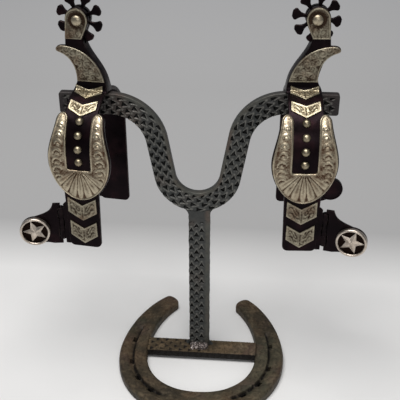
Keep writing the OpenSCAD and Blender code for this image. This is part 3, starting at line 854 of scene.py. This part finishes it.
def make_shank(spur):
    neck = shank_loop(False)

    def skin(v, d):
        flare = 3.4 * np.exp(-((np.maximum(v[:, 1] - 251.0, 0) / 2.4) ** 1.3))
        return SHANK_HALF + flare - rounded(d, 0.8) + 0.06 * wavy(v, 3.0, 4)

    def core(v, d):
        """The fork's slot round the rowel."""
        gap = np.hypot(v[:, 0] - ROWEL_X, v[:, 1] - ROWEL_Z)
        return 1.5 * clamp((ROWEL_R + 1.2 - gap) / 0.5)

    def horn_core(v, d):
        """The slot, and the hollow behind the horn's free part."""
        free = np.maximum(-inside_by(v, [neck]), 0)
        return np.maximum(core(v, d), 2.9 * clamp(free / 0.6))

    rings = (0.15, 0.4, 0.8)
    shape, edge = merge([
        slab([shank_loop(True)], 0.7, flat(0.0), skin, horn_core, rings)[:2],
        slab([neck], 0.7, flat(0.0, 1), skin, core, rings)[:2],
    ])
    spur.piece("shank_forging", shape, STEEL, "shank", edge=edge)


def horn_relief(v, d):
    """Raised curls along the horn on a stippled ground, inside a bright border."""
    outer = [(-6.5, 261.5), (-1.0, 266.0), (-3.0, 271.5), (3.0, 276.0),
             (8.5, 280.2), (13.5, 282.6), (18.5, 283.9)]
    lines = vine(outer, 2.9) + vine([(4.5, 260.8), (3.5, 266.5), (6.0, 272.5), (9.0, 277.0)], 2.7)
    lines += [scroll(0.8, 270.5, 2.4, 60, 1.1, -1), scroll(-7.5, 265.0, 2.0, 200, 1.0, 1)]
    lines.append(scroll(-0.5, 262.0, 2.2, 120, 1.1, 1))
    inner = clamp((d - 0.9) / 0.4)
    stem = etched(v, lines, 0.62) * inner
    # under: a strip offset below each raised stem, painted darker as its painted shadow
    under = etched(v + [-0.35, 0.75], lines, 0.50) * inner * (1 - stem)
    groove = bell(d - 1.05, 0.28)
    blotch, stipple = clamp(0.5 + wavy(v, 4.2, 31)), clamp(0.5 + 0.8 * wavy(v, 1.0, 9))
    crown = 0.4 * (1 - np.exp(-d / 2.2))
    h = 0.95 + crown + 0.32 * stem - 0.22 * groove - 0.16 * stipple * inner
    ground = 0.20 + 0.26 * blotch + 0.26 * stipple
    shade = 0.92 + inner * (ground - 0.92) + (0.95 - ground) * stem * (0.5 + 0.5 * blotch)
    return h, clamp(shade - 0.34 * under - 0.35 * groove)


def cheek_relief(v, d):
    """Curls and strokes under the rowel pin, which sits in a round recess."""
    lines = [scroll(9.6, 296.6, 2.1, 100, 1.2, 1), scroll(5.2, 295.6, 1.7, 260, 1.2, -1)]
    lines += [[(2.4, 293.4), (5.0, 300.0)], scroll(2.2, 301.0, 1.4, 0, 1.1, 1)]
    lines += [[(x0, 293.2), (x0 + 0.6, 298.6)] for x0 in (7.2, 12.9)]
    inner = clamp((d - 1.3) / 0.4)
    carve = etched(v, lines, 0.42) * inner
    stipple = clamp(0.5 + 0.8 * wavy(v, 1.1, 13)) * inner
    around = np.hypot(v[:, 0] - ROWEL_X, v[:, 1] - ROWEL_Z)
    recess = clamp((7.2 - around) / 1.6) * clamp((d - 0.9) / 0.5)
    groove = bell(d - 1.35, 0.3)
    shade = 0.88 - 0.34 * recess - 0.45 * groove - 0.30 * inner - 0.25 * stipple + 0.42 * carve
    return 1.3 - 0.3 * recess - 0.25 * groove + 0.1 * carve - 0.1 * stipple, clamp(shade)


def petal_outline():
    """One rowel point, from its root on one side, over the tip, to the other side."""
    half = np.vstack([
        [(7.2, -1.5), (9.4, -1.25), (11.4, -1.75), (13.2, -2.95)],
        arc(15.05, -2.35, 1.7, -140, -28, 7),
        arc(0, 0, ROWEL_R, -7, 0, 2),
    ])
    return np.vstack([half, half[::-1][1:] * [1, -1]])


def rowel_loop(phase):
    petal, out = petal_outline(), []
    for i in range(POINTS):
        a = math.radians(360 / POINTS * i - phase)
        turn = np.array([[math.cos(a), math.sin(a)], [-math.sin(a), math.cos(a)]])
        gap = a + math.pi / POINTS
        hub = [(7.35 * math.cos(gap + g), 7.35 * math.sin(gap + g)) for g in (-0.12, 0, 0.12)]
        out += [petal @ turn, hub]
    return chain(*out) + [ROWEL_X, ROWEL_Z]


def make_rowel(spur):
    loops = [rowel_loop(ROWEL_PHASE[spur.side]), arc(ROWEL_X, ROWEL_Z, 2.6, 0, 345, 23)]
    shape, edge = plate(loops, 0.6, 0.0, lambda v, d: 1.2 - rounded(d, 0.55), (0.12, 0.3, 0.6))
    spur.piece("rowel_star", shape, STEEL, "rowel", "rowel", edge=edge)
    front, rod = -SHANK_HALF - SILVER_T, 2.5
    back = front - SHANK_HALF
    tail = [(0, back - 0.9), (rod, back - 0.9), (3.3, back - 0.45), (3.3, back), (rod, back)]
    head = dome(3.9, 2.35, 0, 0.25)[:-1]
    pin = lathe([*tail, (rod, -0.1), (3.9, -0.1), *head, (0, 2.6)], 40)
    shape = set_on(pin, (ROWEL_X, front, ROWEL_Z))
    spur.piece("rowel_pin_head", shape, SILVER, "rowel_pin", relief=0.72, edge=1.44)


# ---------------------------------------------------------------- buttons
def leaf_loop(reach, r):
    """A leaf's outline: barrel side, then out to a round end that carries the button."""
    x, low, top = HINGE_X, 137, 172.4
    near = x + 0.35
    return chain(
        [(near, low), *stepped(near, x + BARREL_R + CLEAR, PLAY), (near, top)],
        cubic((x + 6, top), (x + 8, 165), (x + 12, 164), (x + reach, BUTTON_Z + r), 14),
        arc(x + reach, BUTTON_Z, r, 90, -90, 24),
        cubic((x + reach, BUTTON_Z - r), (x + 12, 139), (x + 9, low), (x + 6.5, low), 10),
    )


def star(tilt=17, outer=9.6, inner=4.2):
    """A five-pointed star with a ridge down each arm, standing on the concho's floor."""
    n = 10
    rim = []
    for i in range(n):
        a, r = math.radians(i * 360 / n + tilt), inner if i % 2 else outer
        rim.append((r * math.sin(a), r * math.cos(a)))
    verts = [(0, 0, 3.5)] + [(x, y, 1.9 if i % 2 else 2.0) for i, (x, y) in enumerate(rim)]
    verts += [(x * 0.99, y * 0.99, 1.0) for x, y in rim] + [(0, 0, 1.0)]
    pairs = [(1 + i, 1 + (i + 1) % n) for i in range(n)]
    faces = [(0, a, b) for a, b in pairs] + [(a, n + a, n + b, b) for a, b in pairs]
    return np.array(verts), faces + [(2 * n + 1, n + b, n + a) for a, b in pairs]


def make_leaf(spur, which):
    outer = which == "outer"
    reach, r, y = (21.0, 11.6, HINGE_Y) if outer else (14.8, 9.9, -HINGE_Y)
    leaf = plate(
        [leaf_loop(reach, r)], 0.9, y,
        lambda v, d: LEAF_HALF - rounded(d, 0.5) + 0.05 * wavy(v, 4.0, 2), (0.15, 0.4, 0.8),
    )
    barrel = knuckle(KNUCKLES[1] + PLAY, KNUCKLES[2] - PLAY, y)
    shape, edge = merge([leaf, (barrel, 0.6)])
    part = f"{which}_button"
    spur.piece(f"{which}_leaf", shape, STEEL, f"{part}_leaf", part, which, edge=edge)
    face_y = y - LEAF_HALF
    if outer:
        place = (HINGE_X + reach, face_y, BUTTON_Z)
        rim = [(11.5, -0.1), (11.75, 0.3), *arc(10.75, 2.6, 1.0, 0, 180, 11), (9.7, 1.5)]
        shape = lathe([(0, -0.1), *rim, (8.5, 1.35), (0, 1.2)], 64)
        rad, h = np.hypot(shape[0][:, 0], shape[0][:, 1]), shape[0][:, 2]
        shade = np.where((rad > 9.75) | (h < 0.5), 0.95, 0.0)
        spur.piece("outer_concho_rim", set_on(shape, place), CONCHO, "outer_concho", part, which,
                   relief=shade, edge=shade * 2)
        spur.piece("outer_star", set_on(star(), place), CONCHO, "outer_button_post", part, which,
                   smooth=20, relief=0.9, edge=0.9)
    else:
        back = [(0, -2.5), (1.8, -2.5), (1.8, -0.1), (9.7, -0.1), (9.9, 0.2)]
        crown = [(8.7, 1.45), (8.2, 1.2), (7.6, 1.25), (4, 1.75), (0, 1.95)]
        disc = lathe([*back, *dome(0.6, 0.5, 9.3, 1.1, 8), *crown], 56)
        disc = set_on(disc, (HINGE_X + reach, face_y - 0.4, BUTTON_Z))
        spur.piece("inner_disc", disc, STEEL, "inner_button", part, which, edge=0.8)


def make_spur(side):
    spur = Spur(side)
    make_band(spur)
    make_shank(spur)
    cheek = flat(-SHANK_HALF)
    spur.engraving("shank_engraving", cheek_loop(), cheek, cheek_relief, AGED, "shank_plate")
    spur.engraving("horn_engraving", horn_loop(), cheek, horn_relief, AGED, "guard_overlay")
    spur.engraving("buckle_engraving", buckle_loop(), wrap, buckle_relief, SILVER, "buckle_overlay")
    make_chevrons(spur)
    make_studs(spur)
    make_rowel(spur)
    make_leaf(spur, "outer")
    make_leaf(spur, "inner")


# ---------------------------------------------------------------- stand
def make_bar(name, node, look, front, back, relief, edge, **values):
    """A closed bar from a front and a back grid of points, rows along its length."""
    n, m = front.shape[:2]
    verts = np.vstack([front.reshape(-1, 3), back.reshape(-1, 3)])

    def at(i, j, k):
        return k * n * m + i * m + j

    faces = []
    for i in range(n - 1):
        for j in range(m - 1):
            faces.append((at(i, j, 0), at(i, j + 1, 0), at(i + 1, j + 1, 0), at(i + 1, j, 0)))
            faces.append((at(i, j, 1), at(i + 1, j, 1), at(i + 1, j + 1, 1), at(i, j + 1, 1)))
        faces += [(at(i, j, 0), at(i + 1, j, 0), at(i + 1, j, 1), at(i, j, 1)) for j in (0, m - 1)]
    for j in range(m - 1):
        faces += [(at(i, j, 0), at(i, j, 1), at(i, j + 1, 1), at(i, j + 1, 0)) for i in (0, n - 1)]
    values["relief"] = np.concatenate([side.ravel() for side in relief])
    values["edge"] = np.tile(edge.ravel(), 2)
    make(name, (verts, faces), look, "stand", node, 50, **values)


def spaced(width, step, edge=(0, 0.15, 0.4, 0.8)):
    """Stations across a width, close together at both edges."""
    lead, last = np.array(edge[:-1]), edge[-1]
    count = max(2, round((width - 2 * last) / step)) + 1
    return np.concatenate([lead, np.linspace(last, width - last, count), (width - lead)[::-1]])


def rasp_teeth(s, t, count, phase, start, pitch=4.25, period=8.5, mask=1.0):
    """Rasp teeth cut in staggered columns: height of the surface and how bright it is.

    s runs along the bar towards the teeth's points and t across it from the toothed edge.
    """
    column = np.floor((t - start) / pitch)
    across = (t - start) / pitch - column - 0.5
    along = (s + phase) / period + np.where(column % 2 == 0, 0.0, 0.5)
    along = (along - np.floor(along)) * period
    live = (column >= 0) & (column < count)
    tall, half = 4.6, 0.56
    inside = (along > 0) & (along < tall)
    width = half * np.maximum(1 - along / tall, 0) ** 1.25
    depth = clamp((width - np.abs(across)) * pitch / 0.5) * inside * live * clamp(along / 0.3)
    beyond = (np.abs(across) - half * (1 - np.clip(along, 0, tall) / tall)) * pitch
    burr_highlight = bell(beyond - 0.45, 0.45) * inside * clamp(along / 1.2) * live
    lip = np.exp(-((along - tall - 0.7) ** 2) / 0.9) * bell(across, 0.26) * live
    proud = np.maximum(lip, burr_highlight)
    # shade: the pits painted darker as painted shade, the burrs and lips beside them painted
    # lighter as painted highlight
    shade = clamp(PLAIN_SHADE - 0.8 * depth + 0.34 * proud)
    return (-1.35 * depth + 0.42 * proud) * mask, PLAIN_SHADE + (shade - PLAIN_SHADE) * mask


def zigzag(x, pitch):
    """0 to 1 and back in each pitch."""
    return np.abs((x / pitch) % 1 - 0.5) * 2


def make_rasp(name, node, x, z, s, t, edge, teeth, rough, margin):
    """A bar of rasp: teeth on its front, the fine crossed cuts of a file on its back."""
    _, y0, _, _, y1, _ = node_box(node)
    h, shade = teeth
    fall = rounded(edge, 0.6)
    cuts = 0.22 * np.minimum(zigzag(s + t, 1.9), zigzag(s - t * 1.3, 2.3))
    front = np.dstack([x, y0 - h + rough + fall, z])
    back = np.dstack([x, y1 - fall - cuts * clamp(edge / 1.5), z])
    margin = np.concatenate([margin.ravel(), np.zeros(margin.size)])
    make_bar(name, node, RASP, front, back, (shade, 0.42 + cuts), edge, margin=margin)


def yoke_bend():
    """Centre x and z and outer radius of the yoke's lower bend."""
    x0, _, z0, x1, _, _ = node_box("yoke_bar")
    r = YOKE_R + RASP_W / 2
    return (x0 + x1) / 2, z0 + r, r


def yoke_path(step):
    """The yoke's centreline from the left arm's end to the right's: lengths, points, directions."""
    x0, _, _, x1, _, top_z = node_box("yoke_bar")
    cx, cz, _ = yoke_bend()
    lean = math.radians(LEG_LEAN)
    lx, lz = YOKE_R * math.cos(lean), cz - YOKE_R * math.sin(lean)
    sides = []
    for s in (-1, 1):
        arm_z = top_z - (ARM_DROP if s < 0 else 0) - RASP_W / 2
        leg = (arm_z - lz - SHOULDER_R * (1 - math.sin(lean))) / math.cos(lean)
        sx = lx + leg * math.sin(lean) + SHOULDER_R * math.cos(lean)
        shoulder = arc(sx, arm_z - SHOULDER_R, SHOULDER_R, 90, 180 - LEG_LEAN, 40)
        run = np.vstack([[((x1 - x0) / 2, arm_z)], shoulder, [(lx, lz)]])
        sides.append(run * [s, 1] + [cx, 0])
    bottom = arc(cx, cz, YOKE_R, 180 + LEG_LEAN, 360 - LEG_LEAN, 60)
    line = np.vstack([sides[0], bottom[1:-1], sides[1][::-1]])
    length = np.concatenate([[0], np.cumsum(np.linalg.norm(np.diff(line, axis=0), axis=1))])

    def at(s):
        return np.column_stack([np.interp(s, length, axis) for axis in line.T])

    s = spaced(length[-1], step)
    along = at(s + 0.4) - at(s - 0.4)
    return s, at(s), along / np.linalg.norm(along, axis=1)[:, None]


def make_yoke():
    stations, pts, along = yoke_path(0.55)
    t = spaced(RASP_W, 0.5)
    end = np.minimum(stations, stations[-1] - stations)
    inward = np.column_stack([-along[:, 1], along[:, 0]])
    off = (t[None, :] / RASP_W - 0.5) * (RASP_W - 2 * rounded(end, 2.0)[:, None])
    xz = pts[:, None, :] + off[:, :, None] * inward[:, None, :]
    s, t = np.broadcast_arrays(stations[:, None], t[None, :])
    from_end = np.broadcast_to(end[:, None], t.shape)
    edge = np.minimum(np.minimum(t, RASP_W - t), from_end)
    rough = wavy(xz, 5.0, 3)
    margin = RASP_W - 2.3 + 0.4 * rough
    mask = clamp((from_end - 2.5) / 2.5) * (t < margin)
    teeth = rasp_teeth(s, t, 4, 2.0, -0.3, 4.05, 8.3, mask)
    plain = clamp((t - margin + 1.6) / 2.0)
    x, z = np.moveaxis(xz, 2, 0)
    make_rasp("yoke_rasp", "yoke_bar", x, z, s, t, edge, teeth, 0.12 * rough, plain)


def make_upright():
    x0, _, z0, x1, _, _ = node_box("upright_bar")
    cx, cz, cr = yoke_bend()
    width = x1 - x0
    t = spaced(width, 0.5)
    top = cz - np.sqrt(cr * cr - (x0 + t - cx) ** 2) + 0.05
    length = top.mean() - z0
    s = spaced(length, 0.55)[:, None] / length * (top[None, :] - z0)
    t = np.broadcast_to(t[None, :], s.shape)
    edge = np.minimum(t, width - t)
    rough = wavy(np.dstack([x0 + t, z0 + s]), 4.0, 9)
    mask = clamp((length - 10 - s) / 3) * (s > 2.5)
    teeth = rasp_teeth(s, t, 3, 1.0, 0.1, mask=mask)
    nibble = np.where(t < 2, (1 - t / 2) * 0.35 * clamp(teeth[0] * -1.6), 0)
    x = x0 + t + nibble + 0.22 * rough * clamp(1 - edge / 2)
    plain = clamp((t - 12.8) / 2.0)
    make_rasp("upright_rasp", "upright_bar", x, z0 + s, s, t, edge, teeth, 0.1 * rough, plain)


def make_cross_bar():
    x0, y0, z0, x1, y1, z1 = node_box("cross_bar")
    x0, x1, width = x0 - 0.2, x1 + 0.2, y1 - y0
    stations = np.arange(x0, x1 + 0.1, 0.36)
    s, t = np.meshgrid(stations, spaced(width, 0.6, (0, 0.2, 0.5, 1.0)), indexing="ij")
    edge, far = np.minimum(t, width - t), width - t
    pts = np.dstack([s, t])
    rough, grain = wavy(pts, 3.0, 5), wavy(pts, 1.1, 15)
    teeth, shade = rasp_teeth(s, far, 4, 3.0, 0.4, 4.1)
    worn = clamp((x0 + 0.62 * (x1 - x0) - s) / 12)
    h = 0.22 * teeth * worn + 0.22 * rough + 0.16 * grain
    serration = zigzag(s, 1.35)
    bite = 0.55 * serration * clamp(1 - t / 0.9)
    ripple = 0.6 * zigzag(s, 2.3) * clamp(0.55 + rough) * clamp(1 - far / 1.4)
    y = y0 + t + bite - ripple
    top = np.dstack([s, y, z1 - rounded(edge, 0.55) + h - 0.12])
    low = np.dstack([s, y, z0 + rounded(edge, 0.45)])
    front_face = clamp(1 - t / 0.45)
    lit = 0.66 + 0.9 * h - 0.25 * worn * (shade < 0.35) - 0.30 * clamp(grain)
    lit = clamp(lit * (1 - front_face) + 0.15 * (1 - serration) * front_face)
    make_bar("cross_rasp", "cross_bar", RUST_BAR, top, low, (lit, 0.12 * (1 - serration)), edge)


class Web:
    """The horseshoe's web. u is 0 at the toe, 1 at the widest place and 2 at the heel."""

    width, narrowing, toe_y, heel = 24.7, 4.2, -2.0, (35.0, 70.2)

    def __init__(self, wide, long):
        self.a, self.b = (wide - self.width) / 2, long / 2 - self.width / 2 + self.toe_y
        quarter = [(self.a, self.toe_y), (self.a, 27), (49.5, 54), self.heel]
        self.quarter = [np.array(p, float) for p in quarter]

    def mid(self, u):
        if u <= 1:
            c, s = max(math.cos(math.pi / 2 * u), 0), math.sin(math.pi / 2 * u)
            return np.array([self.a * s**0.93, self.toe_y - self.b * c**0.93])
        t, (p, q, r, e) = u - 1, self.quarter
        return (1 - t) ** 3 * p + 3 * t * (1 - t) ** 2 * q + 3 * t * t * (1 - t) * r + t**3 * e

    def along(self, u):
        d = self.mid(min(u + 0.01, 2.01)) - self.mid(max(u - 0.01, 0))
        return d / np.linalg.norm(d)

    def out(self, u):
        return self.along(u)[::-1] * [1, -1]

    def half(self, u):
        return self.width / 2 - self.narrowing * max(u - 1, 0)

    def loop(self):
        us = np.linspace(0, 2, 61)[1:]
        outer, inner = ([self.mid(u) + k * self.half(u) * self.out(u) for u in us] for k in (1, -1))
        turn = arc(0, 0, 1, 15, 165, 10) * [self.half(2), 5.4]
        tip = self.mid(2) + turn @ [self.out(2), self.along(2)]
        toe = [(0, self.toe_y - self.b + k * self.width / 2) for k in (-1, 1)]
        return both_sides(np.vstack([toe[:1], outer, tip, inner[::-1], toe[1:]]))

    def holes(self):
        """Nail holes, 6 mm along the web and 3.2 mm across."""
        out, corners = [], np.array([(-1, -1), (1, -1), (1, 1), (-1, 1)]) * [3.0, 1.6]
        for sign in (-1, 1):
            for u in (0.42, 0.62, 0.84, 1.13):
                centre = self.mid(u) + (2.3 - 0.7) * self.out(u)
                out.append((centre + corners @ [self.along(u), self.out(u)]) * [sign, 1])
        return out


def make_shoe():
    x0, y0, _, x1, y1, thick = node_box("horseshoe_base")
    web = Web(x1 - x0, y1 - y0)
    loop = web.loop()
    us = np.linspace(0, 2, 161)
    track, way = np.array([web.mid(u) for u in us]), np.array([web.out(u) for u in us])

    def place(v, h):
        return np.column_stack([v[:, 0] + (x0 + x1) / 2, v[:, 1], h])

    def relief(v, d):
        """The forged face, its outer edge well rounded, with the crease that the nails sit in."""
        w = v.copy()
        w[:, 0] = np.abs(w[:, 0])
        near = np.argmin(((w[:, None] - track[None]) ** 2).sum(-1), 1)
        u, off = us[near], ((w - track[near]) * way[near]).sum(1)
        length = clamp((u - 0.27) / 0.05) * clamp((1.36 - u) / 0.05)
        crease = clamp((off + 1.2) / 0.8) * clamp((5.4 - off) / 5.6) * length
        forged = 0.34 * wavy(v, 9.0, 1) + 0.16 * wavy(v, 2.6, 2)
        # The crease is painted darker, most along its inner wall, as painted shade
        shade = 0.62 - 0.60 * bell(off + 0.2, 1.0) * length - 0.10 * crease + 0.3 * forged
        fall = rounded(np.abs(inside_by(v, [loop])), 2.8)
        return thick - 0.35 - fall - 2.9 * crease + forged * clamp(d / 2), clamp(shade)

    shape, edge, shade = engraved(
        [loop] + web.holes(), 1.05, place, relief, 0,
        lambda v, d: rounded(d, 1.4), (0.25, 0.7, 1.4, 2.1), 0.4,
    )
    make("horseshoe_forging", shape, RUST, "stand", "horseshoe_base", relief=shade, edge=edge)


def bead(x0, x1, y, z, r, toe, seed):
    """A weld bead along x in the corner between an upright face and a floor."""
    stations = np.linspace(x0, x1, int((x1 - x0) / 0.4) + 1)
    arcs = np.radians(np.linspace(0, 90, 12))
    verts, faces, m = [], [], len(arcs) + 1
    for x in stations:
        k = (x - x0) / (x1 - x0)
        fade = math.sqrt(max(1 - (2 * k - 1) ** 6, 0.0)) * 0.92 + 0.08
        for a in arcs:
            grain = noise.noise(Vector((x / 1.8, a * 2.5, seed)))
            ripple = 0.22 * math.sin(x * 2.3 + 2.0 * math.cos(a * 2)) + 0.55 * grain
            rr = (1 + ripple * 0.4) * fade
            verts.append((x, y - toe * rr * math.cos(a), z + r * rr * math.sin(a)))
        verts.append((x, y + 0.4, z - 0.3))
    for p in range(0, (len(stations) - 1) * m, m):
        faces += [(p + j, p + (j + 1) % m, p + m + (j + 1) % m, p + m + j) for j in range(m)]
    faces += [tuple(range(m)), tuple(range(len(verts) - m, len(verts)))[::-1]]
    return np.array(verts), faces


def make_fillets():
    """The welds on both sides of the upright, under the yoke's bend and at the upright's foot."""
    x0, y0, floor, x1, y1, _ = node_box("upright_bar")
    cx, cz, cr = yoke_bend()
    bite, r, foot_r, foot_z = 0.8, 8.0, 3.2, floor + 3.0
    parts = []
    for s, edge in ((-1, x0), (1, x1)):
        inside, facing = edge - s * bite, 180 if s > 0 else 0
        fx = edge + s * r
        fz = cz - math.sqrt((cr + r) ** 2 - (fx - cx) ** 2)
        toward = math.degrees(math.atan2(cz - fz, cx - fx))
        concave = arc(fx, fz, r, facing, toward, 12)
        over = math.degrees(math.atan2(concave[-1][1] - cz, concave[-1][0] - cx))
        under = math.degrees(math.atan2(-cr, inside - cx))
        top = chain([(inside, fz)], concave, arc(cx, cz, cr - bite, over, under, 8))
        toe_x = edge + s * foot_r
        toe = arc(toe_x, foot_z, foot_r, facing, 270 if s > 0 else -90, 8)
        foot = chain([(inside, foot_z)], toe, [(toe_x, floor - 0.6), (inside, floor - 0.6)])
        for loop in (top, foot):
            parts.append(plate(
                [loop], 0.6, (y0 + y1) / 2,
                lambda v, d: 2.5 - rounded(d, 0.5) + 0.1 * wavy(v, 1.6, 6), (0.2, 0.5),
            ))
    make("yoke_weld_fillets", merge(parts)[0], RASP, "stand", "yoke_weld", relief=0.5, edge=1)


def make_welds():
    x0, _, z0, x1, y1, _ = node_box("foot_weld")
    shape = bead(x0 - 0.6, x1 + 0.6, y1, z0 - 0.3, 3.1, 7.4, 1.0)
    make("foot_weld_bead", shape, WELD, "stand", "foot_weld", relief=1, edge=1)
    make_fillets()
    x0, y0, _, x1, y1, top = node_box("bar_end_welds")
    parts, r = [], 5.6
    for x in (x0 + r, x1 - r):
        pool = [(0, 0.05), (4.6, 0.05), (r, 0.6), (5.8, 1.8), (5.0, top), (0, top + 0.4)]
        verts, faces = lathe(pool, 28)
        uneven = 1 + 0.05 * np.sin(5 * np.arctan2(verts[:, 1], verts[:, 0]))
        verts[:, :2] *= uneven[:, None]
        parts.append(((verts + [x, (y0 + y1) / 2, 0], faces), 1))
    make("bar_end_weld_pools", merge(parts)[0], RUST, "stand", "bar_end_welds", relief=0.45, edge=1)


# ---------------------------------------------------------------- room
def make_stage():
    """A wide sheet of pale paper, painted grey behind the object as painted shade for a wall, paler
    far back.
    """
    half, step = 1.7, 0.1
    count = int(round(2 * half / step)) + 1
    line = np.linspace(-half, half, count)
    verts = [(x, y, -0.00002) for y in line for x in line]
    corners = [i * count + j for i in range(count - 1) for j in range(count - 1)]
    mesh = bpy.data.meshes.new("sweep")
    mesh.from_pydata(verts, [], [(k, k + 1, k + count + 1, k + count) for k in corners])
    mesh.shade_smooth()
    s = Shade("paper")
    tone = s.ramp(s.noise(6, 3), (0.3, (0.72, 0.72, 0.72)), (0.7, (0.76, 0.76, 0.758)))
    y = s.axis("Y")
    # Painted light: far turns the paper dark grey just behind the object, as painted shade for a
    # backdrop wall, then paler far back against the lamp's falloff
    dark, mid, pale = (0.41, 0.41, 0.413), (0.56, 0.56, 0.563), (0.90, 0.90, 0.905)
    far = s.ramp(s.span(y, 0.2, 1.3), (0.0, dark), (0.42, mid), (1.0, pale))
    tone = s.mix(s.span(y, 0.125, 0.225), tone, far)
    s.bump(s.noise(90, 3), 0.08, 0.0008)
    mesh.materials.append(s.finish(tone, 0.85, 0.0))
    obj = bpy.data.objects.new("sweep", mesh)
    bpy.context.scene.collection.objects.link(obj)


def area_light(name, place, target, size, power, colour):
    light = bpy.data.lights.new(name, "AREA")
    light.shape = "RECTANGLE"
    light.size, light.size_y = size
    light.energy = power
    light.color = colour
    obj = bpy.data.objects.new(name, light)
    obj.location = place
    obj.rotation_euler = (Vector(target) - Vector(place)).to_track_quat("-Z", "Y").to_euler()
    bpy.context.scene.collection.objects.link(obj)


def make_light():
    scene = bpy.context.scene
    scene.view_settings.view_transform = "Standard"
    world = scene.world or bpy.data.worlds.new("world")
    scene.world = world
    world.use_nodes = True
    back = world.node_tree.nodes["Background"]
    back.inputs["Color"].default_value = (0.80, 0.82, 0.86, 1)
    back.inputs["Strength"].default_value = 0.22
    area_light("key", (-0.12, -0.30, 1.45), (0, -0.02, 0.0), (0.95, 0.75), 21, (1.0, 0.985, 0.965))
    area_light("front", (0.25, -1.25, 0.75), (0, 0, 0.10), (0.6, 0.4), 2.6, (1.0, 0.98, 0.95))


def make_camera():
    data = bpy.data.cameras.new("camera")
    data.lens, data.sensor_width = 67.02, 36.0
    data.clip_end = 20
    camera = bpy.data.objects.new("camera", data)
    camera.location = (0.04525, -0.5126, 0.44969)
    camera.rotation_euler = (math.radians(60.7), 0, math.radians(4.69))
    bpy.context.scene.collection.objects.link(camera)
    bpy.context.scene.camera = camera


make_camera()
make_light()
make_stage()
make_shoe()
make_cross_bar()
make_upright()
make_yoke()
make_welds()
for side in (-1, 1):
    make_spur(side)
